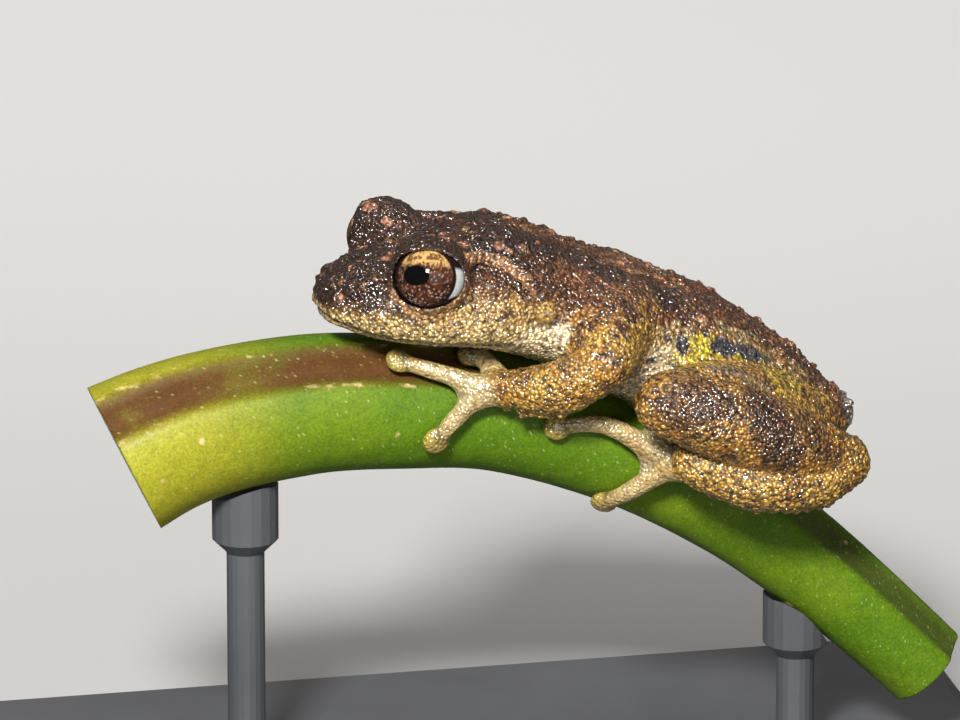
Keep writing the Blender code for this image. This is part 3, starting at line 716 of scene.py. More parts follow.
# Colours of the frog, as seen in even white light.
BLACK_BROWN = np.array((0.034, 0.0125, 0.0045))
DARK_BROWN = np.array((0.065, 0.024, 0.009))
RED_BROWN = np.array((0.165, 0.055, 0.014))
GOLD_BROWN = np.array((0.40, 0.17, 0.016))
KHAKI = np.array((0.51, 0.29, 0.05))
TAN = np.array((0.52, 0.26, 0.11))
PINK_TAN = np.array((0.54, 0.23, 0.125))
PALE_LIP = np.array((0.55, 0.385, 0.15))
PALE_BELLY = np.array((0.66, 0.50, 0.29))
CREAM = np.array((0.52, 0.38, 0.16))
DISC_OLIVE = np.array((0.40, 0.29, 0.04))
WEB_WHITE = np.array((0.32, 0.25, 0.14))
YELLOW = np.array((0.70, 0.52, 0.02))
SLATE = np.array((0.055, 0.050, 0.055))
GREY_SKIN = np.array((0.27, 0.24, 0.20))
SKIN_DEPTH = 0.72


def blob(points, centre, radii, warp, both=True):
    """A soft mask round a place, and round its mirror place, with an uneven edge."""
    masks = []
    for side in ((1, -1) if both else (1,)):
        offset = (points - np.array((centre[0], centre[1] * side, centre[2]))) / np.array(radii)
        masks.append(1 - ramp(np.sqrt((offset**2).sum(1)) + warp, 0.75, 1.15))
    return np.maximum.reduce(masks)


def lay(colours, colour, mask):
    """Lay a colour over one colour or many where a mask is 1."""
    return colours + (colour - colours) * np.asarray(mask)[:, None]


def band(points, places, width, warp):
    """A soft mask along a line of places, and along its mirror, with an uneven edge."""
    best = np.full(len(points), 1e9)
    for side in (1, -1):
        line = [np.array((x, y * side, z)) for x, y, z in places]
        for a, b in zip(line, line[1:]):
            along = b - a
            t = clamp01(((points - a) @ along) / float(along @ along))
            best = np.minimum(best, np.linalg.norm(points - a - t[:, None] * along, axis=1))
    return 1 - ramp(best / width + warp, 0.7, 1.2)


def nearest_part(points):
    """Distances of the skin's vertices from each part of the body, both sides together."""
    x, y, z = points.T
    parts = {"body": body_frame(x, y, z)[3]}
    for name in LIMBS[-1]:
        sides = [shape.distance(x, y, z) for side in (-1, 1) for shape in LIMBS[side][name]]
        parts[name] = np.minimum.reduce(sides)
    return parts


SEAM_WIDTH = 0.16


def part_shares(parts):
    """How far each vertex belongs to each part, adding up to 1."""
    names = list(parts)
    stack = np.stack([parts[name] for name in names])
    stack = np.exp(-(stack - stack.min(0)) / SEAM_WIDTH)
    stack /= stack.sum(0)
    return dict(zip(names, stack))


def face_lines(points, ux, uy, height, own):
    """How deep the line of the mouth goes at each vertex, and the swell of the lips beside it."""
    level = np.interp(ux, MOUTH_LINE[:, 0], MOUTH_LINE[:, 1])
    off = points[:, 2] - level
    along = 1 - ramp(ux, MOUTH_CORNER - 0.4, MOUTH_CORNER + 0.3)
    on_side = ramp(np.abs(uy), 0.0, 0.2) * 0.3 + 0.7
    line = np.exp(-((off / 0.11) ** 2)) * along * own * on_side
    lips = (np.exp(-(((off - 0.36) / 0.22) ** 2)) + 0.8 * np.exp(-(((off + 0.32) / 0.2) ** 2))) * along * own
    return line * (height < 0.1), lips * (height < 0.1)


FOLD_CREST = [row[:3] for row in FOLD[:-1]]
FOLD_GROOVE = [(x - 0.35, y - 0.1, z - 0.5) for x, y, z, _ in FOLD[1:-1]]


# Relief of the skin: spacing and height of the granules, and height of lips, mouth line and fold.
COARSE_SPACING, COARSE_HEIGHT = 0.62, 0.085
FINE_SPACING, FINE_HEIGHT = 0.33, 0.07
LIP_HEIGHT = 0.06
MOUTH_DEPTH = 0.2
FOLD_RELIEF = 0.12


def sculpt(points, quads):
    """Fine form of the skin: lips, creases and granules. Gives points, masks and shares."""
    points = relax(points, quads, 0.5, 2)
    normals = surface_normals(points, quads)
    ux, uy, height, _ = body_frame(*points.T)
    shares = part_shares(nearest_part(points))
    digits = clamp01(sum(shares[name] for name in ("hand", "foot", "finger_tips", "toe_tips", "web")))
    line, lips = face_lines(points, ux, uy, height, shares["body"])
    eye_gap = np.minimum.reduce([np.linalg.norm(points - eye_centre(side), axis=1) for side in (-1, 1)])
    calm = ramp(eye_gap, EYE_RADIUS + 0.02, EYE_RADIUS + 0.2)
    under = ramp(-height, 0.25, 0.6) * shares["body"]
    coarse, draw = pebbles(points, COARSE_SPACING, 11)
    fine, _ = pebbles(points, FINE_SPACING, 23)
    granules = COARSE_HEIGHT * (1 - ramp(coarse, 0.05, 0.5)) * (draw > 0.3)
    granules = granules + FINE_HEIGHT * (1 - ramp(fine, 0.05, 0.6))
    rough = (1 - 0.85 * digits) * (1 - 0.55 * under) * calm
    push = granules * rough + LIP_HEIGHT * lips - MOUTH_DEPTH * line
    push += FOLD_RELIEF * band(points, FOLD_CREST, 0.34, 0.0) - FOLD_RELIEF * band(points, FOLD_GROOVE, 0.3, 0.0)
    push += 0.04 * (mottle(points, 1.4, 31) - 0.5) * (1 - digits)
    push += 0.03 * (mottle(points, 0.5, 37, 2) - 0.5) * digits
    points = points + normals * push[:, None]
    facts = {"ux": ux, "height": height, "line": line, "eye_gap": eye_gap, "digits": digits,
             "granule": clamp01(granules / 0.11) * (1 - digits)}
    return points, facts, shares


SADDLE_LINE = ((-1.0, -4.0, 9.0), (2.5, -2.6, 8.6), (5.5, -1.9, 7.4), (8.0, -3.0, 6.0), (11.0, -3.8, 4.7))
SPINE_LINE = ((4.0, 0.0, 8.3), (9.0, 0.5, 6.2), (15.0, 0.0, 3.7), (21.0, 0.0, -1.0))


def body_colours(points, facts):
    """Colours of head and trunk."""
    ux, height = facts["ux"], facts["height"]
    soft = mottle(points, 3.2, 51) - 0.5
    grain = mottle(points, 0.9, 53) - 0.5
    fine = mottle(points, 0.38, 57, 2) - 0.5
    level = height + 0.5 * soft + 0.25 * grain
    c = lay(PALE_BELLY, KHAKI, ramp(level, -0.55, -0.25))
    c = lay(c, GOLD_BROWN, ramp(level, -0.05, 0.35))
    c = lay(c, RED_BROWN, ramp(level, 0.3, 0.62))
    c = lay(c, GOLD_BROWN, ramp(mottle(points, 0.8, 65), 0.56, 0.66) * (1 - ramp(level, 1.0, 1.6)) * 0.4)
    clumps = ramp(mottle(points, 1.5, 61) + 0.12 * fine, 0.52, 0.62)
    c = lay(c, DARK_BROWN, clumps * ramp(height, 0.1, 0.5) * 0.75)
    c = lay(c, DARK_BROWN, ramp(mottle(points, 0.45, 69, 2), 0.58, 0.7) * ramp(height, -0.4, 0.1) * 0.6)
    head = 1 - ramp(ux, 0.5, 4.0)
    cheek = (1 - ramp(level, 0.3, 0.55)) * ramp(height, -1.1, -0.8) * head
    c = lay(c, PALE_LIP, cheek * 0.85)
    c = lay(c, GOLD_BROWN, cheek * ramp(level, -0.05, 0.3) * 0.5)
    flecks = ramp(mottle(points, 0.55, 67, 2), 0.6, 0.7)
    c = lay(c, DARK_BROWN, cheek * flecks * ramp(height, -0.3, 0.3) * 0.7)
    crown = ramp(level + 0.2 * fine, 0.45, 0.75) * head
    c = lay(c, DARK_BROWN, crown * 0.85)
    c = lay(c, BLACK_BROWN, crown * ramp(mottle(points, 1.1, 63), 0.42, 0.58) * 0.9)
    snout = (1 - ramp(ux, -7.0, -4.5)) * ramp(level + 0.3 * fine, 0.1, 0.4)
    c = lay(c, BLACK_BROWN, snout * 0.85)
    warp = 1.1 * grain + 0.7 * soft
    saddle = band(points, SADDLE_LINE, 1.25, 0.55 * warp + 0.5 * fine)
    c = lay(c, BLACK_BROWN, saddle * 0.9)
    c = lay(c, TAN, band(points, ((9.0, -2.2, 5.8), (11.2, -1.1, 5.0)), 0.4, 0.5 * warp) * 0.75)
    c = lay(c, TAN, band(points, ((8.2, 0.8, 6.2), (9.4, 1.6, 5.6)), 0.4, 0.5 * warp) * 0.6)
    c = lay(c, RED_BROWN * 1.15, band(points, SPINE_LINE, 1.6, warp) * 0.4)
    c = lay(c, RED_BROWN, blob(points, (-0.4, -6.4, 7.0), (1.6, 1.4, 1.1), warp) * 0.6)
    c = lay(c, PALE_BELLY * 1.5, blob(points, (2.8, -5.4, 2.4), (2.9, 2.2, 1.6), 0.5 * warp) * 0.9)
    # Painted shade in the groove below the fold behind the eye, over the skin's own dark brown, and a pale tan
    # crest that is partly its own colour and partly painted highlight.
    c = lay(c, DARK_BROWN, band(points, FOLD_GROOVE, 0.45, 0.4 * warp) * 0.7)
    c = lay(c, TAN * 1.3, band(points, FOLD_CREST, 0.46, 0.15 * warp) * 0.85)
    c = lay(c, KHAKI * 1.1, blob(points, (2.8, -6.3, 5.0), (0.75, 1.0, 0.85), 0.2 * warp) * 0.8)
    c = lay(c, GREY_SKIN, blob(points, (23.4, 0.0, -5.0), (1.5, 1.8, 1.6), 0.3 * warp) * 0.85)
    return flank_colours(c, points, warp, fine)


SLATE_LINE = ((14.2, -4.9, 1.5), (15.2, -4.6, 1.1), (16.6, -3.9, 0.35), (18.4, -3.0, -0.9))
FLANK_LINE = ((8.8, -5.8, 2.4), (12.0, -5.3, 2.4), (15.0, -4.3, 2.0), (17.5, -3.6, 0.8), (19.6, -2.7, -1.2))


def flank_colours(c, points, warp, fine):
    """The bright yellow patch with slate blotches between arm and thigh."""
    dusk = lay(CREAM * 0.9, GOLD_BROWN, ramp(warp + fine, -0.2, 0.35) * 0.8)
    c = lay(c, dusk, band(points, FLANK_LINE, 1.0, 1.1 * warp + 0.9 * fine) * 0.7)
    # The pale belly wedge between arm and knee, brightened above the belly colour as painted light where the arm
    # and thigh shade it.
    c = lay(c, PALE_BELLY * 1.25, blob(points, (9.2, -5.4, 0.0), (2.6, 1.9, 2.2), 0.6 * warp) * 0.9)
    c = lay(c, YELLOW * 0.9, blob(points, (13.2, -5.0, 1.8), (1.0, 1.6, 0.85), 0.6 * warp + 0.4 * fine) * 0.9)
    c = lay(c, YELLOW * 0.9, blob(points, (11.4, -5.6, 0.9), (1.3, 1.6, 0.6), 0.8 * warp + 0.4 * fine) * 0.5)
    for centre, radii in (((11.7, -5.3, 1.9), (0.42, 0.9, 0.62)), ((14.5, -4.8, 1.45), (0.85, 1.2, 0.72)),
                          ((9.6, -5.7, 1.2), (0.5, 0.7, 0.26)),
                          ((10.7, -5.3, 2.4), (0.3, 0.5, 0.22)), ((13.4, -4.6, 2.3), (0.34, 0.5, 0.26))):
        c = lay(c, SLATE, blob(points, centre, radii, 0.35 * warp + 0.4 * fine) * 0.95)
    c = lay(c, SLATE, band(points, SLATE_LINE[:3], 0.62, 0.5 * warp + 0.6 * fine) * 0.95)
    c = lay(c, SLATE, band(points, SLATE_LINE[2:], 0.42, 0.5 * warp + 0.6 * fine) * 0.8)
    for centre in ((14.0, -5.1, 0.85), (15.4, -4.7, 0.55), (12.3, -5.5, 0.9), (13.2, -5.2, 1.1)):
        c = lay(c, YELLOW, blob(points, centre, (0.34, 0.8, 0.3), 0.3 * warp) * 0.95)
    return c


def limb_colours(points):
    """Colours of each part of the limbs."""
    soft = mottle(points, 2.0, 71)
    grain = mottle(points, 0.75, 73)
    fine = mottle(points, 0.3, 77, 2)
    warp = 1.2 * (grain - 0.5) + 0.8 * (soft - 0.5)
    golden = lay(GOLD_BROWN, KHAKI, ramp(soft + 0.3 * fine, 0.5, 0.75) * 0.8)
    golden = lay(golden, DARK_BROWN, ramp(grain + 0.5 * (fine - 0.5), 0.52, 0.62) * 0.75)
    light = lay(KHAKI, GOLD_BROWN, ramp(grain, 0.45, 0.7) * 0.7)
    light = lay(light, DARK_BROWN, ramp(fine + 0.2 * grain, 0.62, 0.74) * 0.65)
    shank = lay(golden, RED_BROWN, ramp(soft, 0.4, 0.6) * 0.4)
    shank = lay(shank, DARK_BROWN, blob(points, (11.5, -10.6, -0.4), (3.0, 2.2, 1.5), warp) * 0.7)
    shank = lay(shank, BLACK_BROWN, blob(points, (12.4, -10.8, -0.5), (1.6, 2.0, 0.8), warp) * 0.5)
    shank = lay(shank, DARK_BROWN, band(points, ((15.4, -10.9, 0.2), (16.9, -10.8, -3.8)), 1.45, warp) * 0.85)
    shank = lay(shank, BLACK_BROWN, band(points, ((15.6, -10.9, -0.2), (16.5, -10.9, -2.4)), 0.9, warp) * 0.5)
    shank = lay(shank, DARK_BROWN, band(points, ((18.6, -10.2, -1.4), (19.4, -9.9, -4.0)), 0.8, warp) * 0.75)
    shank = lay(shank, KHAKI, ramp(-points[:, 2] - 0.42 * (points[:, 0] - 9), 2.6, 4.2) * 0.6)
    thigh = lay(light, YELLOW * 0.8, blob(points, (17.6, -5.4, -0.9), (2.2, 1.6, 1.2), 0.8 * warp) * 0.35)
    thigh = lay(thigh, SLATE * 2.2, band(points, ((13.2, -7.4, 0.9), (16.5, -7.3, -0.4)), 0.8, warp) * 0.4)
    cream = lay(CREAM, GOLD_BROWN, ramp(grain, 0.55, 0.75) * 0.45)
    cream = lay(cream, DARK_BROWN, ramp(fine, 0.66, 0.76) * 0.5)
    disc = lay(DISC_OLIVE, CREAM, ramp(grain, 0.4, 0.8) * 0.25)
    web = lay(WEB_WHITE, GOLD_BROWN, ramp(grain, 0.5, 0.7) * 0.5)
    back = ramp(points[:, 2] + 0.25 * np.abs(points[:, 1]) - 5.4 + 1.6 * (soft - 0.5) + grain - 0.5, 0.0, 1.2)
    upper = lay(golden, RED_BROWN, back * 0.9)
    upper = lay(upper, DARK_BROWN, back * ramp(grain, 0.5, 0.65) * 0.8)
    return {"upper_arm": upper, "forearm": lay(golden, KHAKI, np.full(len(points), 0.1)), "thigh": thigh,
            "shank": shank, "tarsus": light, "hand": cream, "foot": cream, "finger_tips": disc,
            "toe_tips": disc, "web": web}


def wart_tints(c, points, shares):
    """Tan and rusty tips on the warts."""
    for centre, size, kind in WARTS:
        if kind <= 0.62:
            continue
        colour = PINK_TAN if kind > 0.85 else TAN if kind > 0.74 else RED_BROWN * 1.3
        close = np.abs(points[:, 0] - centre[0]) < size * 1.5
        gap = np.linalg.norm(points[close] - centre, axis=1) / size
        mask = (1 - ramp(gap, 0.85, 1.3)) * shares["body"][close] * 0.75
        c[close] = lay(c[close], colour, mask)
    return c


def paint_skin(points, facts, shares):
    """One colour for each vertex of the skin."""
    limbs = limb_colours(points)
    c = body_colours(points, facts) * shares["body"][:, None]
    for name, colours in limbs.items():
        c = c + colours * shares[name][:, None]
    c = wart_tints(c, points, shares)
    tips = shares["finger_tips"] + shares["toe_tips"]
    c *= (1 - 0.55 * np.exp(-(((tips - 0.5) / 0.22) ** 2)))[:, None]
    uneven = 0.5 * (mottle(points, 0.6, 83, 2) - 0.5)
    for centre, radii in (((-6.6, 2.3, 9.85), (0.5, 0.6, 0.4)), ((-5.7, 0.8, 9.3), (0.4, 0.5, 0.4)),
                          ((-7.5, 0.4, 7.8), (0.4, 0.5, 0.4)), ((-6.5, -2.8, 8.1), (0.45, 0.4, 0.4)),
                          ((-9.7, -3.8, 5.9), (0.35, 0.4, 0.35)), ((-3.3, -5.3, 10.0), (0.45, 0.5, 0.4)),
                          ((-1.8, -3.5, 8.9), (0.45, 0.5, 0.4)), ((-4.2, -5.0, 10.2), (0.35, 0.4, 0.4)),
                          ((0.4, -3.9, 8.7), (0.4, 0.4, 0.3)), ((-6.6, 3.1, 9.9), (0.5, 0.5, 0.4))):
        c = lay(c, PINK_TAN, blob(points, centre, radii, uneven, False) * 0.8)
    c *= (1 - 0.75 * facts["line"])[:, None]
    gap = facts["eye_gap"] - EYE_RADIUS
    for side in (-1, 1):
        local = (points - eye_centre(side)) @ eye_axes(side)
        below = ramp(-local[:, 1], 0.2, 1.2) * ramp(local[:, 2], 0.2, 0.8)
        c = lay(c, TAN * 1.2, below * ramp(gap, 0.12, 0.22) * (1 - ramp(gap, 0.35, 0.7)) * 0.6)
    c = lay(c, BLACK_BROWN, (1 - ramp(gap, 0.05, 0.26)) * 0.85)
    c *= (0.74 + 0.44 * mottle(points, 0.28, 91, 2))[:, None]
    # Painted highlight on the raised granules and painted shade between them.
    c *= (0.82 + 0.4 * facts["granule"])[:, None]
    return np.clip(c * SKIN_DEPTH, 0.0, 1.0)


def node(tree, kind, **values):
    """A shader node with some of its inputs or settings given."""
    made = tree.nodes.new(kind)
    for key, value in values.items():
        if key in made.inputs.keys():
            made.inputs[key].default_value = value
        else:
            setattr(made, key, value)
    return made


def new_material(name):
    """A node material, its tree and its shader."""
    material = bpy.data.materials.new(name)
    material.use_nodes = True
    tree = material.node_tree
    return material, tree, tree.nodes["Principled BSDF"]


def set_inputs(shader, **values):
    """Set sockets of a shader by their names, with _ for a space."""
    for key, value in values.items():
        shader.inputs[key.replace("_", " ")].default_value = value


def texture(tree, kind, **values):
    """A texture laid over the object's own coordinates."""
    made = node(tree, "ShaderNodeTex" + kind, **values)
    where = node(tree, "ShaderNodeTexCoord")
    tree.links.new(where.outputs["Object"], made.inputs["Vector"])
    return made


def remap(tree, source, start, end, low, high):
    """An output carried from the range start to end over to low to high."""
    made = node(tree, "ShaderNodeMapRange")
    for key, value in (("From Min", start), ("From Max", end), ("To Min", low), ("To Max", high)):
        made.inputs[key].default_value = value
    tree.links.new(source, made.inputs["Value"])
    return made.outputs["Result"]


def multiply(tree, first, second):
    """The product of two outputs."""
    made = node(tree, "ShaderNodeMath", operation='MULTIPLY')
    tree.links.new(first, made.inputs[0])
    tree.links.new(second, made.inputs[1])
    return made.outputs[0]


def channels(tree, source):
    """The three parts of a colour, named Red, Green and Blue."""
    made = node(tree, "ShaderNodeSeparateColor")
    tree.links.new(source, made.inputs["Color"])
    return made.outputs


def painted(tree, shade):
    """The colour painted on the mesh, multiplied by a shade."""
    tint = node(tree, "ShaderNodeAttribute", attribute_name="tint")
    mix = node(tree, "ShaderNodeMix", data_type='RGBA', blend_type='MULTIPLY')
    mix.inputs["Factor"].default_value = 1.0
    tree.links.new(tint.outputs["Color"], mix.inputs["A"])
    tree.links.new(shade, mix.inputs["B"])
    return mix.outputs["Result"]


def bumps(tree, *layers):
    """The normal of stacked bumps: outputs with strengths and distances in metres."""
    normal = None
    for height, strength, distance in layers:
        made = node(tree, "ShaderNodeBump", Strength=strength, Distance=distance)
        tree.links.new(height, made.inputs["Height"])
        if normal:
            tree.links.new(normal, made.inputs["Normal"])
        normal = made.outputs["Normal"]
    return normal


GRAINS = 4300.0
# Painted glints: cell scale and colour of small pale specks on a few granules.
PAINTED_GLINT_SCALE = 3900.0
PAINTED_GLINT_COLOUR = (0.62, 0.52, 0.40, 1.0)


def skin_shade(tree, grains, draws, smoothness):
    """How light the skin is in each granule: a painted highlight on each granule's crown and painted shade at
    its rim, with some granules dark by their own colour.
    """
    specks = texture(tree, "Noise", Scale=3600.0, Detail=4.0, Roughness=0.7)
    lit_tops_shaded_rims = remap(tree, grains.outputs["Distance"], 0.15, 0.75, 1.25, 0.45)
    dim = remap(tree, draws["Green"], 0.12, 0.4, 0.38, 1.12)
    spots = remap(tree, specks.outputs["Fac"], 0.38, 0.60, 0.45, 1.4)
    shade = multiply(tree, multiply(tree, lit_tops_shaded_rims, dim), spots)
    plain = node(tree, "ShaderNodeMix")
    tree.links.new(remap(tree, smoothness, 0.0, 1.0, 0.0, 0.65), plain.inputs["Factor"])
    tree.links.new(shade, plain.inputs["A"])
    plain.inputs["B"].default_value = 1.0
    return plain.outputs["Result"]


def painted_glints(tree, colour, rough_skin):
    """Add painted glints, small pale specks on a few granules, to a colour."""
    tips = texture(tree, "Voronoi", Scale=PAINTED_GLINT_SCALE)
    small = remap(tree, tips.outputs["Distance"], 0.13, 0.26, 0.8, 0.0)
    chosen = remap(tree, channels(tree, tips.outputs["Color"])["Red"], 0.84, 0.9, 0.0, 1.0)
    share = multiply(tree, multiply(tree, small, chosen), rough_skin)
    glinted = node(tree, "ShaderNodeMix", data_type='RGBA')
    tree.links.new(share, glinted.inputs["Factor"])
    tree.links.new(colour, glinted.inputs["A"])
    glinted.inputs["B"].default_value = PAINTED_GLINT_COLOUR
    return glinted.outputs["Result"]


def skin_material():
    """Moist granular frog skin, coloured by its painted tint, with painted highlights and shade on the granules
    and painted glints.
    """
    material, tree, shader = new_material("frog_skin")
    smoothness = node(tree, "ShaderNodeAttribute", attribute_name="thin").outputs["Fac"]
    grains = texture(tree, "Voronoi", Scale=GRAINS)
    wide = texture(tree, "Noise", Scale=2300.0, Detail=5.0, Roughness=0.7).outputs["Fac"]
    grit = texture(tree, "Noise", Scale=15000.0, Detail=3.0).outputs["Fac"]
    draws = channels(tree, grains.outputs["Color"])
    rough_skin = remap(tree, smoothness, 0.0, 1.0, 1.0, 0.6)
    colour = painted_glints(tree, painted(tree, skin_shade(tree, grains, draws, smoothness)), rough_skin)
    tree.links.new(colour, shader.inputs["Base Color"])
    square = multiply(tree, grains.outputs["Distance"], grains.outputs["Distance"])
    domes = multiply(tree, remap(tree, square, 0.0, 0.45, 1.0, 0.0), rough_skin)
    normal = bumps(tree, (wide, 0.5, 0.00014), (domes, 1.0, 0.00011), (grit, 0.2, 0.00002))
    tree.links.new(normal, shader.inputs["Normal"])
    beads = multiply(tree, domes, remap(tree, draws["Blue"], 0.0, 1.0, 0.55, 1.35))
    tree.links.new(bumps(tree, (beads, 1.0, 0.00009)), shader.inputs["Coat Normal"])
    tree.links.new(remap(tree, wide, 0.35, 0.65, 0.35, 0.6), shader.inputs["Roughness"])
    set_inputs(shader, Specular_IOR_Level=0.1, Coat_Weight=1.0, Coat_Roughness=0.12, Coat_IOR=1.82,
               Subsurface_Weight=0.05, Subsurface_Scale=0.0005, Subsurface_Radius=(1.0, 0.55, 0.3))
    return material


def build_skin():
    """The frog's skin, which stands for all nodes of flesh."""
    points, quads = model_frog()
    points, quads = largest_shell(points, quads)
    points, facts, shares = sculpt(points, quads)
    colours = paint_skin(points, facts, shares)
    piece = make_mesh("frog_skin", points, quads, colours, thin=facts["digits"])
    piece.data.materials.append(skin_material())
    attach(piece, "root")
    parts = ("upper_arm", "forearm", "hand", "thigh", "shank", "tarsus", "foot")
    limbs = [f"{part}_{side}" for side in ("left", "right") for part in parts]
    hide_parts("head", "torso", *limbs)


def grid_faces(rows, columns):
    """Four-sided faces of a sheet of rows that closes on itself across its columns."""
    i, j = np.meshgrid(np.arange(rows - 1), np.arange(columns), indexing="ij")
    k = (j + 1) % columns
    corners = (i * columns + j, i * columns + k, (i + 1) * columns + k, (i + 1) * columns + j)
    return np.stack(corners, -1).reshape(-1, 4)


CORNEA_BULGE = 0.03

# Eye markings: the iris' half angle, the way it looks within the opening, and the pupil's shares of it.
IRIS_ANGLE = math.radians(55.5)
GAZE = (math.radians(5.5), math.radians(1.5))
PUPIL_HALF = (0.42, 0.29)
PUPIL_AT = (0.2, 0.06)
IRIS_CREAM = np.array((0.44, 0.265, 0.09))
IRIS_RUST = np.array((0.055, 0.017, 0.008))
IRIS_ASH = np.array((0.34, 0.24, 0.18))
IRIS_DARK = np.array((0.012, 0.006, 0.005))
SCLERA = np.array((0.46, 0.47, 0.45))
PUPIL_BLACK = np.array((0.002, 0.002, 0.002))


def eye_colours(local, side):
    """Colours of an eyeball from directions in its own axes, with Z the way it looks."""
    ahead = Matrix.Rotation(side * GAZE[0], 3, 'Y') @ Matrix.Rotation(-GAZE[1], 3, 'X')
    local = local @ np.array(ahead)
    angle = np.arccos(np.clip(local[:, 2], -1, 1)) / IRIS_ANGLE
    turn = np.arctan2(local[:, 1], local[:, 0])
    across, up = angle * np.cos(turn), angle * np.sin(turn)
    rays = mottle(np.stack([np.cos(turn) * 8, np.sin(turn) * 8, angle * 2.5], 1), 1.0, 101)
    net = mottle(local * 11, 1.0, 103)
    flecks, draw = pebbles(local, 0.075, 109)
    ash = (1 - ramp(flecks, 0.2, 0.5)) * (draw > 0.3)
    white = ramp(angle, 1.05, 1.1) * ramp(-side * across, 0.6, 0.75)
    c = lay(IRIS_DARK, SCLERA, white * (1 - ramp(up, 0.28, 0.42)) * ramp(up, -0.76, -0.62))
    ring = 1 - ramp(angle, 0.88, 0.97)
    rust = lay(IRIS_RUST, IRIS_DARK, ramp(rays + 0.4 * net, 0.6, 0.8) * 0.8)
    rust = lay(rust, IRIS_ASH, ash * (0.5 + 0.4 * ramp(-up, 0.2, 0.7)))
    cream = lay(IRIS_CREAM, IRIS_RUST, ramp(rays * 0.3 + net * 0.8, 0.50, 0.62) * 0.85)
    top = ramp(up + 0.5 * (net - 0.5), 0.3, 0.42)
    c = lay(c, rust, ring)
    c = lay(c, cream, ring * top)
    pupil = np.hypot((across - side * PUPIL_AT[0]) / PUPIL_HALF[0], (up - PUPIL_AT[1]) / PUPIL_HALF[1])
    pupil = pupil + 0.12 * (mottle(local * 5, 1.0, 107) - 0.5)
    return lay(c, PUPIL_BLACK, 1 - ramp(pupil, 0.96, 1.02)) * SKIN_DEPTH


def eye_material():
    """A wet clear cornea over a painted iris."""
    material, tree, shader = new_material("frog_eye")
    net = texture(tree, "Noise", Scale=9000.0, Detail=4.0)
    colour = painted(tree, remap(tree, net.outputs["Fac"], 0.3, 0.7, 0.7, 1.25))
    tree.links.new(colour, shader.inputs["Base Color"])
    set_inputs(shader, Roughness=0.4, Specular_IOR_Level=0.0,
               Coat_Weight=0.6, Coat_Roughness=0.012, Coat_IOR=1.36)
    return material


def build_eyes():
    """Both eyeballs, each with a slightly raised cornea."""
    material = eye_material()
    rows, columns = ((120, 180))
    for side, word in ((-1, "left"), (1, "right")):
        axes = eye_axes(side)
        lat = np.linspace(0.01, math.pi - 0.01, rows)[:, None]
        lon = np.linspace(0, 2 * math.pi, columns, endpoint=False)[None, :]
        local = np.stack([np.sin(lat) * np.cos(lon), np.sin(lat) * np.sin(lon),
                          np.broadcast_to(np.cos(lat), (rows, columns))], -1).reshape(-1, 3)
        bulge = 1 + CORNEA_BULGE * (1 - ramp(np.arccos(local[:, 2]), 0.5, 1.0))
        points = eye_centre(side) + (local * bulge[:, None] * EYE_RADIUS) @ axes.T
        quads = grid_faces(rows, columns)
        piece = make_mesh("eyeball_" + word, points, quads, eye_colours(local, side))
        close_ends(piece, rows, columns)
        piece.data.materials.append(material)
        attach(piece, "root")
        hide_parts("eye_" + word)


def close_ends(piece, rows, columns):
    """Close the small holes at both poles of a ringed mesh."""
    work = bmesh.new()
    work.from_mesh(piece.data)
    work.verts.ensure_lookup_table()
    work.faces.new([work.verts[i] for i in range(columns)])
    work.faces.new([work.verts[(rows - 1) * columns + i] for i in range(columns)])
    bmesh.ops.recalc_face_normals(work, faces=work.faces)
    work.to_mesh(piece.data)
    work.free()
    piece.data.shade_smooth()


STEM_GREEN = np.array((0.07, 0.14, 0.004))
STEM_LIGHT = np.array((0.16, 0.21, 0.008))
STEM_YELLOW = np.array((0.36, 0.30, 0.02))
STEM_BROWN = np.array((0.080, 0.034, 0.009))
STEM_DARK = np.array((0.040, 0.042, 0.010))
CORK = np.array((0.52, 0.38, 0.17))
SPECK_AND_GLINT = np.array((0.62, 0.66, 0.30))
PITH = np.array((0.42, 0.48, 0.20))
VESSEL = np.array((0.30, 0.26, 0.12))
STEM_DEPTH = 0.68


def build_stem():
    """The cut leaf stalk, with its channel, pale specks that are partly painted glints, corky flecks and cut
    ends.
    """
    rows, columns = ((560, 220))
    angle = np.linspace(0, 2 * math.pi, columns, endpoint=False)
    keys = np.linspace(STEM_CUTS[0], STEM_CUTS[1], rows)
    centre, along, radius = [], [], []
    for key in keys:
        here = smooth(STEM_KEYS, STEM, key)
        ahead = smooth(STEM_KEYS, STEM, key + 0.02) - smooth(STEM_KEYS, STEM, key - 0.02)
        centre.append((here[0], 0.0, here[1]))
        along.append((ahead[0], 0.0, ahead[1]))
        radius.append(here[2])
    centre, along, radius = np.array(centre), np.array(along), np.array(radius)
    along /= np.linalg.norm(along, axis=1, keepdims=True)
    up = np.stack([-along[:, 2], np.zeros(rows), along[:, 0]], 1)
    off, dent = channel(angle)
    ways = up[:, None, :] * np.cos(angle)[None, :, None] + np.array((0, -1, 0)) * np.sin(angle)[None, :, None]
    places = centre[:, None, :] + ways * (radius[:, None, None] * (1 - dent)[None, :, None])
    points = places.reshape(-1, 3)
    spread = np.repeat(off[None, :], rows, 0).reshape(-1)
    length = np.repeat(np.arange(rows)[:, None] / rows, columns, 1).reshape(-1)
    colours, relief = stem_colours(points, spread, length)
    points = points + ways.reshape(-1, 3) * relief[:, None]
    points, quads, colours = stem_ends(points, colours, centre, along, rows, columns)
    piece = make_mesh("stem", points, quads, colours)
    piece.data.materials.append(stem_material())
    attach(piece, "root")
    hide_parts("perch_stem")


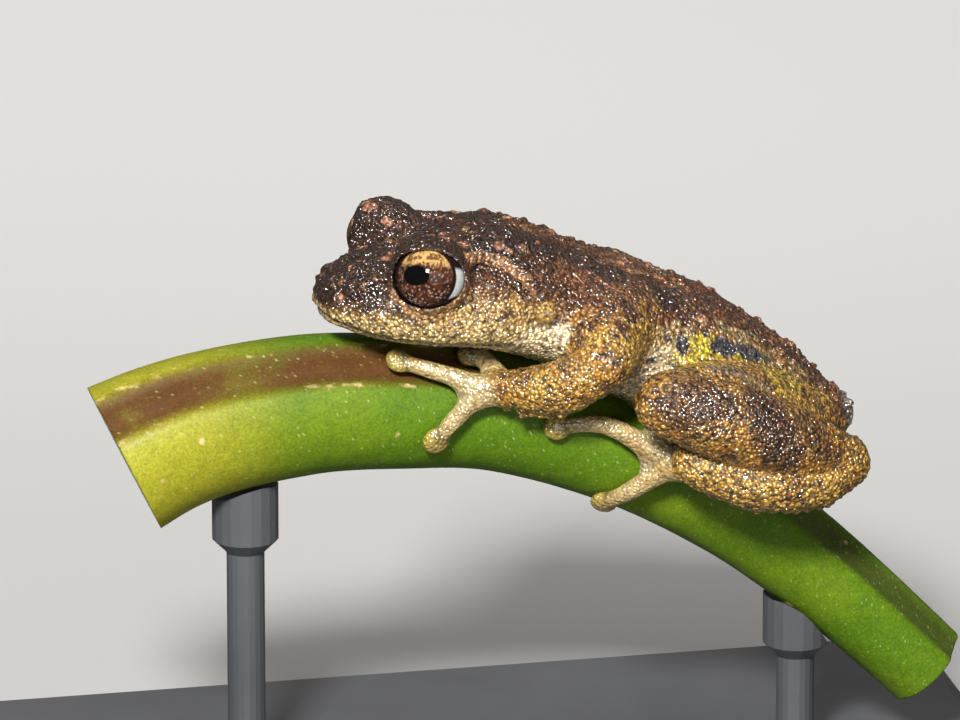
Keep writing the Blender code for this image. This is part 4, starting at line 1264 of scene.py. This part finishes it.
def stem_colours(points, spread, length):
    """Colours and small relief of the stem's surface."""
    streak = mottle(points * np.array((0.35, 1.6, 1.6)), 1.0, 121)
    cloud = mottle(points, 5.0, 123)
    grain = mottle(points, 0.5, 127, 2)
    c = lay(STEM_GREEN, STEM_LIGHT, ramp(cloud, 0.45, 0.75) * 0.35 + ramp(streak, 0.5, 0.8) * 0.15)
    c = lay(c, STEM_YELLOW, (1 - ramp(length, 0.05, 0.2)) * 0.6)
    inside = np.exp(-((spread / CHANNEL_WIDTH / 1.2) ** 6))
    early = 1 - ramp(length, 0.36, 0.5)
    late = ramp(length, 0.66, 0.8)
    c = lay(c, STEM_BROWN, inside * early * (0.75 + 0.25 * ramp(cloud + 0.3 * grain, 0.35, 0.6)))
    c = lay(c, STEM_DARK, inside * late * 0.75)
    wobble = mottle(points * np.array((0.7, 1.0, 1.0)), 1.1, 133)
    edge = np.exp(-(((np.abs(spread) - 1.15 * CHANNEL_WIDTH - 0.16 * (wobble - 0.5)) / 0.03) ** 2))
    ragged = mottle(points * np.array((0.45, 1.0, 1.0)), 0.32, 129)
    flecks = edge * ramp(ragged + 0.5 * (cloud - 0.5), 0.58, 0.74) * clamp01(early + 0.6 * late)
    c = lay(c, CORK, flecks * 0.75)
    # Pale specks: partly the stalk's own speckling and partly painted glints.
    near, draw = pebbles(points, 0.3, 131)
    specks = (1 - ramp(near, 0.08, 0.2)) * (draw > 0.35)
    c = lay(c, SPECK_AND_GLINT, specks * 0.3 * (0.4 + draw))
    scar, draw = pebbles(points, 2.6, 137)
    scars = (1 - ramp(scar + 0.2 * (grain - 0.5), 0.05, 0.12)) * (draw > 0.72)
    c = lay(c, CORK, scars * 0.9)
    relief = 0.02 * flecks + 0.012 * specks + 0.03 * scars + 0.03 * (streak - 0.5) + 0.02 * (cloud - 0.5)
    c *= (0.85 + 0.3 * grain)[:, None] * STEM_DEPTH
    return np.clip(c, 0, 1), relief


def stem_ends(points, colours, centre, along, rows, columns):
    """Close the stem with cut faces that show paler pith and a ring of darker vessels."""
    quads = [grid_faces(rows, columns)]
    rings = 26
    for row, way in ((0, -1), (rows - 1, 1)):
        rim = points[row * columns:(row + 1) * columns]
        base = len(points)
        shares = np.linspace(1, 0.004, rings)[1:]
        fresh = np.concatenate([centre[row] + (rim - centre[row]) * s for s in shares])
        out = np.linalg.norm(fresh - centre[row], axis=1) / np.linalg.norm(rim - centre[row], axis=1).mean()
        vessels, draw = pebbles(fresh, 0.75, 151)
        dots = (1 - ramp(vessels, 0.16, 0.3)) * (out < 0.86) * (draw > 0.3)
        tone = lay(PITH, STEM_GREEN, ramp(out, 0.84, 0.93))
        tone = lay(tone, VESSEL, dots * 0.75)
        tone *= (0.8 + 0.4 * mottle(fresh, 0.4, 157, 2))[:, None]
        fresh = fresh + along[row] * way * (0.04 * (mottle(fresh, 0.5, 161) - 0.5) - 0.04 * dots)[:, None]
        points = np.concatenate([points, fresh])
        colours = np.concatenate([colours, tone])
        order = np.concatenate([np.arange(row * columns, (row + 1) * columns), np.arange(base, len(points))])
        cap = order[grid_faces(rings, columns)]
        quads.append(cap if way > 0 else cap[:, ::-1])
        middle = len(points)
        points = np.concatenate([points, centre[row][None, :]])
        colours = np.concatenate([colours, tone[-1:]])
        last = np.arange(middle - columns, middle)
        half = np.stack([last[0::2], last[1::2], np.roll(last, -2)[0::2], np.full(columns // 2, middle)], 1)
        quads.append(half if way > 0 else half[:, ::-1])
    return points, np.concatenate(quads), colours


def stem_material():
    """Smooth fresh leaf stalk."""
    material, tree, shader = new_material("green_stem")
    fleck = texture(tree, "Noise", Scale=6000.0, Detail=4.0, Roughness=0.7).outputs["Fac"]
    cells = texture(tree, "Voronoi", Scale=5200.0).outputs["Distance"]
    tree.links.new(painted(tree, remap(tree, fleck, 0.35, 0.65, 0.76, 1.26)), shader.inputs["Base Color"])
    normal = bumps(tree, (fleck, 0.25, 0.00004), (cells, 0.18, 0.00003))
    for socket in ("Normal", "Coat Normal"):
        tree.links.new(normal, shader.inputs[socket])
    set_inputs(shader, Roughness=0.5, Specular_IOR_Level=0.12, Coat_Weight=0.03, Coat_Roughness=0.2,
               Subsurface_Weight=0.05, Subsurface_Scale=0.0008, Subsurface_Radius=(0.5, 1.0, 0.2))
    return material


def stand_material():
    """Fine satin paint over the metal of the stand, worn a little."""
    material, tree, shader = new_material("stand_paint")
    peel = texture(tree, "Noise", Scale=2600.0, Detail=3.0).outputs["Fac"]
    cloud = texture(tree, "Noise", Scale=60.0, Detail=6.0, Roughness=0.6).outputs["Fac"]
    tones = node(tree, "ShaderNodeValToRGB")
    tones.color_ramp.elements[0].color = (0.030, 0.031, 0.034, 1.0)
    tones.color_ramp.elements[1].color = (0.052, 0.053, 0.056, 1.0)
    tree.links.new(cloud, tones.inputs["Fac"])
    tree.links.new(tones.outputs["Color"], shader.inputs["Base Color"])
    tree.links.new(remap(tree, cloud, 0.3, 0.7, 0.34, 0.5), shader.inputs["Roughness"])
    tree.links.new(bumps(tree, (peel, 0.2, 0.00003)), shader.inputs["Normal"])
    set_inputs(shader, Specular_IOR_Level=0.5)
    return material


def dress_stand():
    """Give the stand's nodes their paint."""
    material = stand_material()
    for name in ("stand_base", "stand_rod_front", "stand_rod_rear"):
        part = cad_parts[name]
        part.data.materials.clear()
        part.data.materials.append(material)


def view_axes():
    """Right, up and back of the photo's view."""
    a, e = VIEW_AZIMUTH, VIEW_ELEVATION
    back = Vector((math.sin(a) * math.cos(e), -math.cos(a) * math.cos(e), math.sin(e)))
    right = Vector((math.cos(a), math.sin(a), 0.0))
    return right, back.cross(right), back


def build_camera():
    """The camera, at the photo's angle and framing."""
    _, _, back = view_axes()
    data = bpy.data.cameras.new("camera")
    data.sensor_width = SENSOR
    data.lens = SENSOR * VIEW_DISTANCE / VIEW_WIDTH
    camera = add_object("camera", data)
    camera.location = Vector(PLACE * MM) + back * VIEW_DISTANCE
    camera.rotation_euler = (-back).to_track_quat('-Z', 'Y').to_euler()
    bpy.context.scene.camera = camera


def add_light(name, spot, size, power, aim=(0.0, 0.0, 0.0)):
    """A square soft light, placed and aimed by metres to the right, up and back in the view."""
    axes = view_axes()
    place, target = (Vector(PLACE * MM) + sum((axis * step for axis, step in zip(axes, steps)), Vector())
                     for steps in (spot, aim))
    data = bpy.data.lights.new(name, 'AREA')
    data.shape = 'SQUARE'
    data.size = size
    data.energy = power
    lamp = add_object(name, data)
    lamp.location = place
    lamp.rotation_euler = (target - place).to_track_quat('-Z', 'Y').to_euler()
    return lamp


FLOOR_HALF = 3.0
PAPER = (0.27, 0.265, 0.257, 1.0)
SURROUND = (1.0, 0.96, 0.90, 1.0)
SURROUND_STRENGTH = 0.11


def build_studio():
    """A wide pale floor and soft lights."""
    mesh = bpy.data.meshes.new("studio_floor")
    h = FLOOR_HALF
    mesh.from_pydata([(-h, -h, 0), (h, -h, 0), (h, h, 0), (-h, h, 0)], [], [(0, 1, 2, 3)])
    floor = add_object("studio_floor", mesh)
    material, tree, shader = new_material("studio_paper")
    set_inputs(shader, Roughness=0.85)
    shader.inputs["Base Color"].default_value = PAPER
    floor.data.materials.append(material)
    # Moist skin and the eyes mirror the dark surround, not the floor.
    floor.visible_glossy = False
    world = bpy.data.worlds.new("surround")
    world.use_nodes = True
    surround = world.node_tree.nodes["Background"]
    surround.inputs["Color"].default_value = SURROUND
    surround.inputs["Strength"].default_value = SURROUND_STRENGTH
    bpy.context.scene.world = world
    add_light("key", (-0.06, 0.13, 0.38), 0.065, 5.3)
    add_light("fill", (0.12, -0.02, 0.38), 0.30, 0.6)
    add_light("floor_wash", (0.0, 0.28, -0.15), 0.4, 1.8, (0.0, 0.10, -0.45))
    add_light("far_side", (-0.10, 0.16, -0.42), 0.25, 1.2).visible_glossy = False


bpy.context.scene.view_settings.view_transform = 'Standard'
build_camera()
build_studio()
build_skin()
build_eyes()
build_stem()
dress_stand()
